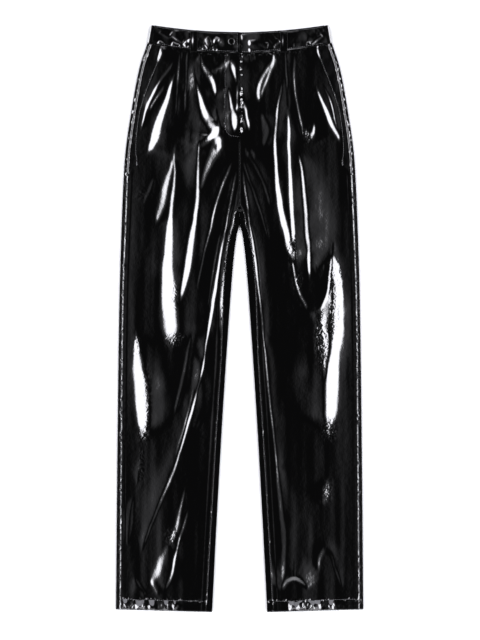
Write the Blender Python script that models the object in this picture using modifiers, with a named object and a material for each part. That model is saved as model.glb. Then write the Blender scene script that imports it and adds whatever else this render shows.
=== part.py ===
"""High-waisted pleated trousers in patent leather, lying flat on their back panels.

Metres, +Z up. The waist is at +Y and the hems at -Y. The wearer's right side is -X, so the fronts face up.
The cloth is a wall round flattened leg tubes. A station is a height along the garment, before the curve of
the waist seam and the slope of the hem are added to it.
"""

import math

import bpy

# ---------------------------------------------------------------- driving sizes
WALL = 0.0015            # patent leather with its backing
BAND_WALL = 0.0022       # waistband, folded double over interfacing
SEAM_GAP = 0.0004        # between two pieces at a seam
LAYER_GAP = 0.0004       # between two layers that lie on each other
EDGE_LOFT = 0.0070       # height of the rolled leg edges
ROLL_REACH = 0.0045      # and how far inside the outline they become level
LEG_SAG = 0.0010         # the front sinks this much towards the middle of a leg
WAIST_LIFT = 0.0020      # the back belt loops hold the waistband this far off the surface
BAND_LOFT = 0.0080       # height of the flattened waistband

WAIST_SEAM_Y = 0.4910    # waist seam at the centre front
WAIST_SEAM_RISE = 0.0190  # and how much higher it is at the side
WAIST_TOP_Y = 0.5300     # top edge at the centre front
WAIST_TOP_RISE = 0.0145  # and how much higher it is at the side
WAIST_HALF = 0.1710
HEM_RISE = 0.0050        # how much higher the hem is at the side seam than at the inseam
FORK_TOP = 0.2125        # where the four panels meet, on the front
BAND_SEAM_IN = 0.0080    # the waistband's side seam, inside the outline

LOOP_WIDTH = 0.0130
LOOP_WALL = 0.0015
LOOP_ARCH = 0.0012       # a front loop stands this much off the band at its middle
LOOP_END_GAP = 0.0008    # between a loop's lower end and the waist seam
FRONT_LOOPS = (("belt_loop_front_right", -0.0845), ("belt_loop_front_left", 0.0818))
BACK_LOOPS = (("belt_loop_back_1", -0.1150), ("belt_loop_back_2", 0.0), ("belt_loop_back_3", 0.1150))

BUTTON_X = -0.0152
BUTTON_Y = 0.5123
BUTTON_RADIUS = 0.0065
BUTTON_HEIGHT = 0.0034
BUTTON_RIM = 0.0012      # height of its rim
BUTTON_FOOT = 0.82       # its foot is this much narrower than its rim

BAND_UNDERLAP = 0.0300   # the left band runs this far under the right one
BAND_STEP = 0.0450       # and climbs back to the right one's height over this width
FLY_END_Y = 0.3360
FLY_WIDTH = 0.0280
FLY_LIFT = 0.0010        # the lapped fly stands this much above the left front
ZIP_HALF_WIDTH = 0.0130
ZIP_WALL = 0.0010
POCKET_END = 0.2880      # lower end of the pocket mouth
POCKET_CLOSE = 0.0280    # its seam reaches the side seam this much lower
FACING_UNDER = 0.0080    # the pocket facing runs this far under the front

FRONT_COLUMNS = 14
SIDE_COLUMNS = 3         # of which these take up the pocket mouth
SIDE_STRIP = 0.0450      # and start this far inside the outline
ROLL_STEPS = 4           # in each rolled edge of a back panel
UNDER_STEPS = 5          # and across its flat under side
UNROLL_REACH = 0.016     # above the fork the inner roll lies flat over this width
FACING_COLUMNS = 6
FACING_START = 0.6       # the facing begins this part of POCKET_CLOSE below the pocket's end
BAND_COLUMNS = 12
BAND_UNDER_STEPS = 10
STATIONS = (
    -0.543, -0.505, -0.465, -0.425, -0.385, -0.345, -0.300, -0.255, -0.210, -0.165, -0.120, -0.075,
    -0.030, 0.015, 0.060, 0.100, 0.135, 0.160, 0.176, 0.188, 0.200, 0.2125, 0.240, 0.262, 0.275, 0.2885,
    0.325, 0.360, 0.395, 0.430, 0.462, 0.4905,
)

# ---------------------------------------------------------------- tables, one row for each section
# y, half width of the whole garment
OUTLINE = (
    (-0.543, 0.2292), (-0.243, 0.2265), (0.042, 0.2226), (0.165, 0.2190), (0.247, 0.2156), (0.310, 0.2114),
    (0.382, 0.2010), (0.442, 0.1900), (0.471, 0.1830), (0.510, 0.1710), (0.543, 0.1650),
)
# y, distance of the inner leg edge from the middle
INNER_EDGE = (
    (-0.543, 0.0507), (-0.342, 0.0404), (-0.185, 0.0315), (-0.019, 0.0207), (0.088, 0.0128), (0.135, 0.0080),
    (0.160, 0.0040), (0.174, 0.0002),
)
# y, how far the side seam lies inside the outline
SIDE_SEAM_IN = (
    (-0.543, 0.0070), (-0.250, 0.0065), (0.040, 0.0055), (0.200, 0.0065), (0.340, 0.0055), (0.510, 0.0050),
)
# y, how far the inseam lies inside the inner leg edge
INSEAM_IN = ((-0.543, 0.0110), (-0.100, 0.0095), (0.186, 0.0090), (0.200, 0.0055), (0.2125, 0.0))
# y, distance of the slanted pocket mouth from the middle
POCKET_MOUTH = (
    (0.285, 0.1910), (0.312, 0.1945), (0.349, 0.1920), (0.383, 0.1870), (0.410, 0.1780), (0.432, 0.1680),
    (0.461, 0.1545), (0.502, 0.1425),
)
# name, half width across, height, then the points (x, y) of the ridge from the waist down
FOLDS = (
    ("right pleat, outer", 0.012, 0.0040, (
        (-0.110, 0.492), (-0.138, 0.432), (-0.170, 0.386), (-0.186, 0.325))),
    ("right pleat, inner", 0.012, 0.0040, (
        (-0.083, 0.490), (-0.077, 0.418), (-0.074, 0.320), (-0.077, 0.200))),
    ("right thigh", 0.018, 0.0050, ((-0.114, 0.340), (-0.127, 0.210), (-0.136, 0.080), (-0.134, -0.020))),
    ("right long drag line", 0.020, 0.0045, (
        (-0.009, 0.257), (-0.044, 0.074), (-0.068, -0.087), (-0.105, -0.221), (-0.157, -0.365),
        (-0.199, -0.494))),
    ("right shin", 0.016, 0.0035, ((-0.090, -0.309), (-0.132, -0.419), (-0.179, -0.487))),
    ("left pleat, inner", 0.012, 0.0040, ((0.080, 0.490), (0.077, 0.418), (0.064, 0.325), (0.067, 0.273))),
    ("left pleat, outer", 0.012, 0.0040, ((0.100, 0.492), (0.107, 0.406), (0.122, 0.325))),
    ("left pocket", 0.012, 0.0035, ((0.143, 0.442), (0.168, 0.399), (0.187, 0.329))),
    ("left thigh", 0.018, 0.0050, ((0.067, 0.273), (0.079, 0.196), (0.100, 0.088), (0.123, 0.036))),
    ("left knee", 0.022, 0.0055, ((0.175, 0.140), (0.169, 0.010), (0.171, -0.119), (0.167, -0.234))),
    ("left inner line", 0.016, 0.0040, (
        (0.001, 0.270), (0.026, 0.120), (0.045, -0.026), (0.061, -0.165), (0.070, -0.287), (0.078, -0.474))),
)

# material: sRGB colour, roughness, metallic
FINISHES = {
    "patent_leather": ((0.060, 0.060, 0.066), 0.12, 0.0),
    "covered_button": ((0.070, 0.070, 0.078), 0.10, 0.0),
    "zip_tape": ((0.080, 0.080, 0.085), 0.80, 0.0),
}


# ---------------------------------------------------------------- curves
def slopes_of(rows):
    """The slope at each row of a table: the mean of its neighbours', or zero at a turn."""
    steps = [(b[1] - a[1]) / (b[0] - a[0]) for a, b in zip(rows, rows[1:])]
    inner = [0.5 * (a + b) if a * b > 0 else 0.0 for a, b in zip(steps, steps[1:])]
    return [steps[0], *inner, steps[-1]]


def read(rows, at):
    """The value of a table at a height, on a smooth curve through its rows."""
    if at <= rows[0][0]:
        return rows[0][1]
    if at >= rows[-1][0]:
        return rows[-1][1]
    slopes = slopes_of(rows)
    low = max(i for i, row in enumerate(rows[:-1]) if row[0] <= at)
    span = rows[low + 1][0] - rows[low][0]
    t = (at - rows[low][0]) / span
    rise = t * t * (3 - 2 * t)
    start = span * slopes[low] * t * (1 - t) ** 2
    end = span * slopes[low + 1] * t * t * (t - 1)
    return rows[low][1] + rise * (rows[low + 1][1] - rows[low][1]) + start + end


def ease(t):
    """0 to 1, level at both ends."""
    t = min(max(t, 0.0), 1.0)
    return t * t * (3 - 2 * t)


def mix(a, b, t):
    return a + (b - a) * t


# ---------------------------------------------------------------- the garment's plan
def waist_seam(x):
    return WAIST_SEAM_Y + WAIST_SEAM_RISE * (x / WAIST_HALF) ** 2


def waist_top(x):
    return WAIST_TOP_Y + WAIST_TOP_RISE * (x / WAIST_HALF) ** 2


def settled(x, station):
    """The true y of a station: curved with the waist seam at the top, sloped with the hem at the bottom."""
    upper = ease((station - 0.380) / (WAIST_SEAM_Y - 0.380))
    lower = ease((-0.440 - station) / 0.100)
    across = (abs(x) - 0.0507) / (0.2292 - 0.0507)
    return station + upper * (waist_seam(x) - WAIST_SEAM_Y) + lower * HEM_RISE * max(across, 0.0)


def outline(station):
    """Half width of the garment at a station, read where the station reaches the side."""
    side_y = station + WAIST_SEAM_RISE * ease((station - 0.380) / (WAIST_SEAM_Y - 0.380))
    return read(OUTLINE, side_y)


def inner_edge(station):
    return read(INNER_EDGE, station)


def side_seam(station):
    return outline(station) - read(SIDE_SEAM_IN, station)


def inseam(station):
    """The front's inner edge: the centre front above the fork, the inseam below it."""
    return inner_edge(station) + read(INSEAM_IN, station)


def front_side(station):
    """The front's outer edge: the pocket mouth from the pocket's end up, the side seam below."""
    opened = ease((station - POCKET_END + POCKET_CLOSE) / POCKET_CLOSE)
    return mix(side_seam(station), read(POCKET_MOUTH, station), opened)


# ---------------------------------------------------------------- heights
def base(station):
    """The lowest face of the cloth: on the surface, but lifted at the waist by the back belt loops."""
    return WAIST_LIFT * ease((station - 0.400) / 0.060)


def outer_reach(station):
    """How wide the roll at the leg's outer edge is."""
    return min(ROLL_REACH, read(SIDE_SEAM_IN, station) - 0.0010)


def inner_reach(station):
    return mix(ROLL_REACH, 0.0030, ease((station - 0.120) / 0.060))


def roundness(inside, reach):
    """1 on the flat, falling to 0 on a quarter ellipse at the edge."""
    if inside >= reach:
        return 1.0
    return math.sqrt(max(0.0, 1 - (1 - inside / reach) ** 2))


def distance_along(point, path):
    """The distance from a point to a path, and how far along the path its nearest point is, 0 to 1."""
    lengths = [math.dist(a, b) for a, b in zip(path, path[1:])]
    best = (1e9, 0.0)
    walked = 0.0
    for (a, b), length in zip(zip(path, path[1:]), lengths):
        t = ((point[0] - a[0]) * (b[0] - a[0]) + (point[1] - a[1]) * (b[1] - a[1])) / length**2
        t = min(max(t, 0.0), 1.0)
        near = (mix(a[0], b[0], t), mix(a[1], b[1], t))
        best = min(best, (math.dist(point, near), (walked + t * length) / sum(lengths)))
        walked += length
    return best


def folds(x, y):
    """Height that the folds add to the front."""
    total = 0.0
    for _name, half_width, height, path in FOLDS:
        away, along = distance_along((x, y), path)
        ends = ease(along / 0.15) if path[0][1] < 0.480 else 1.0
        ends *= ease((1 - along) / 0.25)
        total = max(total, height * ends * math.exp(-((away / half_width) ** 2)))
    return total * mix(0.25, 1.0, ease((waist_seam(x) - y) / 0.060))


def fly_lap(x, y):
    """The lapped fly on the right front, whose lower end is round."""
    if x > 0 or y < FLY_END_Y:
        return 0.0
    across = ease((x + FLY_WIDTH) / 0.004)
    return FLY_LIFT * across * ease((y - FLY_END_Y) / 0.020)


def top(x, station):
    """Height of the front's upper face at a signed x."""
    y = settled(x, station)
    to_side = outline(station) - abs(x)
    to_inner = abs(x) - inner_edge(station) if station < FORK_TOP else 1.0
    crown = roundness(to_side, outer_reach(station)) * roundness(to_inner, inner_reach(station))
    inland = ease((to_side - 0.012) / 0.030) * ease((to_inner - 0.010) / 0.025)
    rolled = base(station) + 0.5 * EDGE_LOFT * (1 + crown)
    return rolled + inland * (folds(x, y) - LEG_SAG)


# ---------------------------------------------------------------- building
def clear_scene():
    for thing in list(bpy.data.objects):
        bpy.data.objects.remove(thing, do_unlink=True)


def finish_of(name):
    colour, roughness, metallic = FINISHES[name]
    material = bpy.data.materials.get(name) or bpy.data.materials.new(name)
    material.use_nodes = True
    shader = material.node_tree.nodes["Principled BSDF"]
    linear = [((c + 0.055) / 1.055) ** 2.4 if c > 0.04045 else c / 12.92 for c in colour]
    shader.inputs["Base Color"].default_value = (*linear, 1.0)
    shader.inputs["Roughness"].default_value = roughness
    shader.inputs["Metallic"].default_value = metallic
    return material


def into_collection(thing, collection):
    for other in list(thing.users_collection):
        other.objects.unlink(thing)
    collection.objects.link(thing)


def sheet(name, collection, columns, rows, place, wall, finish="patent_leather"):
    """A grid whose points place(u, v) sets, u and v from 0 to 1, given a wall on its under side."""
    bpy.ops.mesh.primitive_grid_add(x_subdivisions=columns, y_subdivisions=rows, size=2.0)
    thing = bpy.context.object
    thing.name = name
    thing.data.name = name
    for vertex in thing.data.vertices:
        vertex.co = place((vertex.co.x + 1) / 2, (vertex.co.y + 1) / 2)
    thing.data.materials.append(finish_of(finish))
    thickness = thing.modifiers.new("wall", "SOLIDIFY")
    thickness.thickness = wall
    thickness.offset = -1.0
    thickness.use_even_offset = True
    into_collection(thing, collection)
    return thing


def station_at(v):
    return STATIONS[round(v * (len(STATIONS) - 1))]


def leg_front(name, collection, side):
    """side is -1 for the wearer's right and 1 for the left."""

    def place(u, v):
        station = station_at(v)
        column = (u if side > 0 else 1 - u) * FRONT_COLUMNS
        inner = inseam(station) + SEAM_GAP / 2
        outer = front_side(station) - SEAM_GAP / 2
        strip = outline(station) - SIDE_STRIP
        main = FRONT_COLUMNS - SIDE_COLUMNS
        if column <= main:
            x = side * mix(inner, strip, column / main)
        else:
            x = side * mix(strip, outer, (column - main) / SIDE_COLUMNS)
        height = top(x, station)
        if side < 0:
            height += fly_lap(x, settled(x, station))
        return x, settled(x, station), height

    return sheet(name, collection, FRONT_COLUMNS, len(STATIONS) - 1, place, WALL)


def back_section(station):
    """(x, height) from the side seam, round the outer roll, under the leg and round the inner roll."""
    low = base(station)
    half_loft = 0.5 * EDGE_LOFT
    reach_out = outer_reach(station)
    reach_in = inner_reach(station)
    edge_out = outline(station)
    edge_in = inner_edge(station)
    quarter = math.pi / ROLL_STEPS
    roll = [quarter * i for i in range(ROLL_STEPS + 1)]
    seam_height = low + EDGE_LOFT
    points = [(side_seam(station) + SEAM_GAP / 2, seam_height)]
    for turn in roll:
        points.append((edge_out - reach_out * (1 - math.sin(turn)), low + half_loft * (1 + math.cos(turn))))
    start, end = edge_out - reach_out, edge_in + reach_in
    for step in range(1, UNDER_STEPS):
        points.append((mix(start, end, step / UNDER_STEPS), low))
    for turn in roll:
        points.append((edge_in + reach_in * (1 - math.sin(turn)), low + half_loft * (1 - math.cos(turn))))
    points.append((max(inseam(station) - SEAM_GAP / 2, end + 0.0004), seam_height))
    if station < FORK_TOP:
        return points
    loose = ROLL_STEPS + 2
    flat = [(mix(UNROLL_REACH, SEAM_GAP / 2, i / (loose - 1)), low) for i in range(loose)]
    under = [(mix(start, UNROLL_REACH, i / UNDER_STEPS), low) for i in range(1, UNDER_STEPS)]
    return points[: ROLL_STEPS + 2] + under + flat


def leg_back(name, collection, side):
    columns = 2 * ROLL_STEPS + UNDER_STEPS + 2
    sections = {station: back_section(station) for station in STATIONS}

    def place(u, v):
        station = station_at(v)
        across, height = sections[station][round((u if side > 0 else 1 - u) * columns)]
        x = side * across
        return x, settled(x, station), height

    return sheet(name, collection, columns, len(STATIONS) - 1, place, WALL)


def pocket_facing(name, collection, side):
    """What shows between the pocket mouth and the side seam. It dips under the front along the mouth."""
    lowest = POCKET_END - FACING_START * POCKET_CLOSE
    rows = [lowest, *(station for station in STATIONS if station > lowest)]

    def place(u, v):
        station = rows[round(v * (len(rows) - 1))]
        mouth = front_side(station)
        inner = mouth - FACING_UNDER
        outer = side_seam(station) - SEAM_GAP / 2
        x = mix(inner, outer, u if side > 0 else 1 - u)
        dip = 1 - ease((x - mouth - 0.001) / (outer - mouth - 0.001))
        height = top(side * x, station) - dip * (WALL + LAYER_GAP)
        return side * x, settled(x, station), height

    return sheet(name, collection, FACING_COLUMNS, len(rows) - 1, place, WALL)


def fly_zip(collection):
    """A plain closed zip on its tape, under the fly."""
    low, high = FLY_END_Y + 0.010, WAIST_SEAM_Y - 0.004

    def place(u, v):
        x = mix(-ZIP_HALF_WIDTH, ZIP_HALF_WIDTH, u)
        station = mix(low, high, v)
        return x, station, top(x, station) - WALL - 2 * LAYER_GAP

    return sheet("fly_zip", collection, 2, 5, place, ZIP_WALL, "zip_tape")


def band_outline(v):
    """Half width of the waistband, from its seam (0) to its top edge (1)."""
    return read(OUTLINE, mix(0.5105, 0.543, v))


def band_point(x, v, height):
    low = waist_seam(x) + SEAM_GAP
    return x, mix(low, waist_top(x), v), height


def band_front(name, collection, side):
    """A front half. The left one steps down and runs under the right one."""
    seam_half = 0.0002
    lapped = side > 0
    inner = -BAND_UNDERLAP if lapped else 0.0

    def place(u, v):
        outer = band_outline(v) - BAND_SEAM_IN - seam_half
        if lapped:
            x = mix(inner, outer, u**1.3)
            step = 1 - ease((x - 0.001) / BAND_STEP)
        else:
            x = -mix(inner, outer, 1 - u)
            step = 0.0
        return band_point(x, v, WAIST_LIFT + BAND_LOFT - step * (BAND_WALL + LAYER_GAP))

    return sheet(name, collection, BAND_COLUMNS, 2, place, BAND_WALL)


def band_back(collection):
    """Under the waist and round both edges to the side seams."""
    half_loft = BAND_LOFT / 2
    reach = BAND_SEAM_IN - 0.0015
    roll = [math.pi * i / ROLL_STEPS for i in range(ROLL_STEPS + 1)]
    columns = 2 * ROLL_STEPS + 2 + BAND_UNDER_STEPS

    def section(half):
        left = [(-half + BAND_SEAM_IN - 0.0002, 2 * half_loft)]
        left += [(-half + reach * (1 - math.sin(t)), half_loft * (1 + math.cos(t))) for t in roll]
        start = -half + reach
        flat = [(mix(start, -start, i / BAND_UNDER_STEPS), 0.0) for i in range(1, BAND_UNDER_STEPS)]
        right = [(-x, height) for x, height in reversed(left)]
        return left + flat + right

    def place(u, v):
        x, height = section(band_outline(v))[round((1 - u) * columns)]
        return band_point(x, v * 0.985, WAIST_LIFT + height)

    return sheet("waistband_back", collection, columns, 2, place, BAND_WALL)


def front_loop(name, collection, centre):
    def place(u, v):
        x = centre + mix(-LOOP_WIDTH, LOOP_WIDTH, u) / 2
        y = mix(waist_seam(centre) + LOOP_END_GAP, waist_top(centre) - 0.001, v)
        lying = WAIST_LIFT + BAND_LOFT + LAYER_GAP + LOOP_WALL
        return x, y, lying + LOOP_ARCH * math.sin(math.pi * v)

    return sheet(name, collection, 2, 6, place, LOOP_WALL)


def back_loop(name, collection, centre):
    def place(u, v):
        x = centre + mix(LOOP_WIDTH, -LOOP_WIDTH, u) / 2
        y = mix(waist_seam(centre) + LOOP_END_GAP, waist_top(centre) - 0.001, v)
        return x, y, 0.0

    return sheet(name, collection, 2, 6, place, LOOP_WALL)


def button(collection):
    """A domed covered button, turned about its own axis."""
    foot = WAIST_LIFT + BAND_LOFT + LAYER_GAP
    profile = [(0.0, BUTTON_HEIGHT)]
    for turn in (0.25, 0.5, 0.75, 1.0):
        angle = turn * math.pi / 2
        height = mix(BUTTON_RIM, BUTTON_HEIGHT, math.cos(angle))
        profile.append((BUTTON_RADIUS * math.sin(angle), height))
    profile += [(BUTTON_RADIUS * BUTTON_FOOT, 0.0), (0.0, 0.0)]
    mesh = bpy.data.meshes.new("button")
    corners = [(radius, 0.0, height) for radius, height in profile]
    mesh.from_pydata(corners, [(i, i + 1) for i in range(len(corners) - 1)], [])
    thing = bpy.data.objects.new("button", mesh)
    collection.objects.link(thing)
    thing.location = (BUTTON_X, BUTTON_Y, foot)
    mesh.materials.append(finish_of("covered_button"))
    turned = thing.modifiers.new("turned", "SCREW")
    turned.steps = 14
    turned.render_steps = 14
    turned.use_merge_vertices = True
    turned.merge_threshold = 0.00005
    return thing


def smooth_faces(thing):
    thing.data.shade_smooth()
    thing.data.set_sharp_from_angle(angle=math.radians(40))


def build():
    clear_scene()
    collection = bpy.data.collections.new("trousers")
    bpy.context.scene.collection.children.link(collection)
    for side, word in ((-1, "right"), (1, "left")):
        smooth_faces(leg_front(f"front_{word}", collection, side))
        smooth_faces(leg_back(f"back_{word}", collection, side))
        smooth_faces(pocket_facing(f"pocket_facing_{word}", collection, side))
        smooth_faces(band_front(f"waistband_{word}", collection, side))
    smooth_faces(band_back(collection))
    fly_zip(collection)
    for name, centre in FRONT_LOOPS:
        front_loop(name, collection, centre)
    for name, centre in BACK_LOOPS:
        back_loop(name, collection, centre)
    button(collection)


build()
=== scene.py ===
"""Black patent leather trousers, high-waisted and pleated, lying flat with their fronts up.

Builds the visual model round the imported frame. +X is the wearer's left, +Y runs from the hems to the waist
and +Z up from the surface that the trousers lie on. A station is a height along the garment, before the
curve of the waist seam and the slope of the hem are added to it.
"""

import math

import bpy
import numpy as np
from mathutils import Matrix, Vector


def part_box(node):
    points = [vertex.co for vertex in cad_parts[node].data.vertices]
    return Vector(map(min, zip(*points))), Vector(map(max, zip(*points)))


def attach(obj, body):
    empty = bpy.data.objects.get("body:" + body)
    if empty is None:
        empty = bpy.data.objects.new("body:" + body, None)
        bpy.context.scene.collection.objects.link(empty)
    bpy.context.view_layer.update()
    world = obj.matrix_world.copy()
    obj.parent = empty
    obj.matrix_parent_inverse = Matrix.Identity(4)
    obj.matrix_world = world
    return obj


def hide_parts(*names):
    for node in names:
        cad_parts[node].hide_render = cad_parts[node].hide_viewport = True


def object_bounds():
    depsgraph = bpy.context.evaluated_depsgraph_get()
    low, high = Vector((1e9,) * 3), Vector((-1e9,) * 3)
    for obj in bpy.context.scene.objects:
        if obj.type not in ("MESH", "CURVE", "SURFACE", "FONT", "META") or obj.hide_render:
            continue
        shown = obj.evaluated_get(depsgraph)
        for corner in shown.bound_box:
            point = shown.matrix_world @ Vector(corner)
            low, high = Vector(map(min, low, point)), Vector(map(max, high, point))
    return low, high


bl_info = {
    "name": "Patent leather trousers",
    "version": (1, 0, 0),
    "blender": (4, 5, 0),
    "location": "3D View > Sidebar > Trousers",
    "description": "Builds pleated patent leather trousers that lie flat",
    "category": "Object",
}

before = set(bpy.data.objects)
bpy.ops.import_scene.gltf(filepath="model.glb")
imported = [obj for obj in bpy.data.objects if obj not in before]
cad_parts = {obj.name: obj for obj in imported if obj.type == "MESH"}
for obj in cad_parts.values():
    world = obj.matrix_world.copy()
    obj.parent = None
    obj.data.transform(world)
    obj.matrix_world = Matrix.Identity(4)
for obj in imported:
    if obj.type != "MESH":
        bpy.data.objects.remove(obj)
CAD_LOW, CAD_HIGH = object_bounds()
MM = 0.001

# ---------------------------------------------------------------- sizes that the frame fixes
HALF_WIDTH = CAD_HIGH.x          # at the hem
WAIST_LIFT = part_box("waistband_back")[0].z
BAND_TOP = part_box("waistband_right")[1].z
EDGE_LOFT = BAND_TOP - WAIST_LIFT - 0.0010

WAIST_SEAM_Y = 0.4910
WAIST_SEAM_RISE = 0.0190
WAIST_TOP_Y = 0.5300
WAIST_TOP_RISE = 0.0145
WAIST_HALF = 0.1710
HEM = -0.5430
HEM_RISE = 0.0050
HEM_INNER = 0.0507
WAIST_CURVE_FROM = 0.3800        # from here up, rows of the cloth curve with the waist seam
HEM_SLOPE_FROM = -0.4400         # and from here down, over the next 100 mm, they slope with the hem
HEM_SLOPE_OVER = 0.1000
FORK_TOP = 0.2125                # where the four panels meet
BAND_SEAM_IN = 0.0080
ROLL_REACH = 0.0045              # how far in from a leg's edge its roll becomes level
POCKET_END = 0.2880
FLY_END = 0.3360
FLY_WIDTH = 0.0280
MOUTH_STITCH_IN = 0.0022         # how far in from their edges the pocket mouth and the fly are stitched
FLY_STITCH_IN = 0.0012
HEM_STITCH_IN = 0.0165, 0.0145   # how far from the leg's inner and outer edges the hem's stitching stops
LOOP_HALF_WIDTH = 0.0065
LOOP_WALL = 0.0015
BAND_OVERLAP = 0.0450            # the left band climbs back to the right one's height over this width
EDGE_BEVEL = 0.0003              # the small bevel on the cut edges of the waistband and loops
FRONT_ROW = 0.0036               # about how far apart the rows of a front and of a back are
BACK_ROW = 0.0040
SIDE_STRIP = 0.0450              # a front's outer strip, where its columns run along the pocket mouth
FRONT_LOOPS = (("belt_loop_front_right", -0.0845), ("belt_loop_front_left", 0.0818))
BACK_LOOPS = (("belt_loop_back_1", -0.1150), ("belt_loop_back_2", 0.0), ("belt_loop_back_3", 0.1150))
BUTTON_AT = (-0.0152, 0.5123)
BUTTON_DEPTH = 0.0016
SHOWN_HEIGHT = 1.184             # height of what the camera takes in


# ---------------------------------------------------------------- curves and noise
def curve_through(at, value, slope):
    """A cubic curve through values at places, with a slope at each, read with an array of places."""
    def read(place):
        place = np.clip(place, at[0], at[-1])
        low = np.clip(np.searchsorted(at, place, side="right") - 1, 0, len(at) - 2)
        span = at[low + 1] - at[low]
        t = (place - at[low]) / span
        rise = t * t * (3 - 2 * t)
        bend = span * (slope[low] * t * (1 - t) ** 2 - slope[low + 1] * t * t * (1 - t))
        return value[low] + rise * (value[low + 1] - value[low]) + bend

    return read


def curve_of(*rows):
    """A smooth curve through (place, value) rows that never passes them: it is level where they turn back."""
    at = np.array([row[0] for row in rows])
    value = np.array([row[1] for row in rows])
    steps = np.diff(value) / np.diff(at)
    turning = steps[:-1] * steps[1:] <= 0
    inner = np.where(turning, 0.0, (steps[:-1] + steps[1:]) / 2)
    return curve_through(at, value, np.concatenate(([steps[0]], inner, [steps[-1]])))


def ease(t):
    """0 to 1, level at both ends."""
    t = np.clip(t, 0.0, 1.0)
    return t * t * (3 - 2 * t)


def mix(a, b, t):
    return a + (b - a) * t


LATTICE = np.random.default_rng(7).random((64, 64))


def ripple(x, y, size, shift=0):
    """Smooth noise from -1 to 1 with bumps of that size."""
    column = x / size + 17.3 + 5.7 * shift
    row = y / size + 31.7 + 3.1 * shift
    left = np.floor(column).astype(int)
    low = np.floor(row).astype(int)
    s = ease(column - left)
    t = ease(row - low)
    corner = [LATTICE[(low + j) % 64, (left + i) % 64] for j in (0, 1) for i in (0, 1)]
    return 2 * mix(mix(corner[0], corner[1], s), mix(corner[2], corner[3], s), t) - 1


# ---------------------------------------------------------------- plan of the garment
OUTLINE = curve_of(
    (-0.543, 0.2292), (-0.243, 0.2265), (0.042, 0.2226), (0.165, 0.2190), (0.247, 0.2156), (0.310, 0.2114),
    (0.382, 0.2010), (0.442, 0.1900), (0.471, 0.1830), (0.510, 0.1710), (0.543, 0.1650))
INNER_EDGE = curve_of(
    (-0.543, 0.0507), (-0.342, 0.0404), (-0.185, 0.0315), (-0.019, 0.0207), (0.088, 0.0128), (0.135, 0.0080),
    (0.160, 0.0040), (0.174, 0.0002))
SIDE_SEAM_IN = curve_of(
    (-0.543, 0.0070), (-0.250, 0.0065), (0.040, 0.0055), (0.200, 0.0065), (0.340, 0.0055), (0.510, 0.0050))
INSEAM_IN = curve_of((-0.543, 0.0110), (-0.100, 0.0095), (0.186, 0.0090), (0.200, 0.0055), (0.2125, 0.0))
POCKET_MOUTH = curve_of(
    (0.285, 0.1910), (0.312, 0.1945), (0.349, 0.1920), (0.383, 0.1870), (0.410, 0.1780), (0.432, 0.1680),
    (0.461, 0.1545), (0.502, 0.1425))


def waist_seam(x):
    return WAIST_SEAM_Y + WAIST_SEAM_RISE * (x / WAIST_HALF) ** 2


def waist_top(x):
    return WAIST_TOP_Y + WAIST_TOP_RISE * (x / WAIST_HALF) ** 2


def settled(x, station):
    """The true y of a station: curved with the waist seam at the top, sloped with the hem at the bottom."""
    upper = ease((station - WAIST_CURVE_FROM) / (WAIST_SEAM_Y - WAIST_CURVE_FROM))
    lower = ease((HEM_SLOPE_FROM - station) / HEM_SLOPE_OVER)
    across = (np.abs(x) - HEM_INNER) / (HALF_WIDTH - HEM_INNER)
    return station + upper * (waist_seam(x) - WAIST_SEAM_Y) + lower * HEM_RISE * np.maximum(across, 0.0)


def station_of(x, y):
    """The station that settles at a true y."""
    station = np.array(y, float)
    for _ in range(6):
        station = station - (settled(x, station) - y)
    return station


def outline(station):
    upper = ease((station - WAIST_CURVE_FROM) / (WAIST_SEAM_Y - WAIST_CURVE_FROM))
    return OUTLINE(station + WAIST_SEAM_RISE * upper)


def side_seam(station):
    return outline(station) - SIDE_SEAM_IN(station)


def inseam(station):
    return INNER_EDGE(station) + INSEAM_IN(station)


def front_side(station):
    """The front's outer edge: the pocket mouth from the pocket's end up, the side seam below."""
    opened = ease((station - POCKET_END + 0.026) / 0.028)
    return mix(side_seam(station), POCKET_MOUTH(station), opened)


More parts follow.
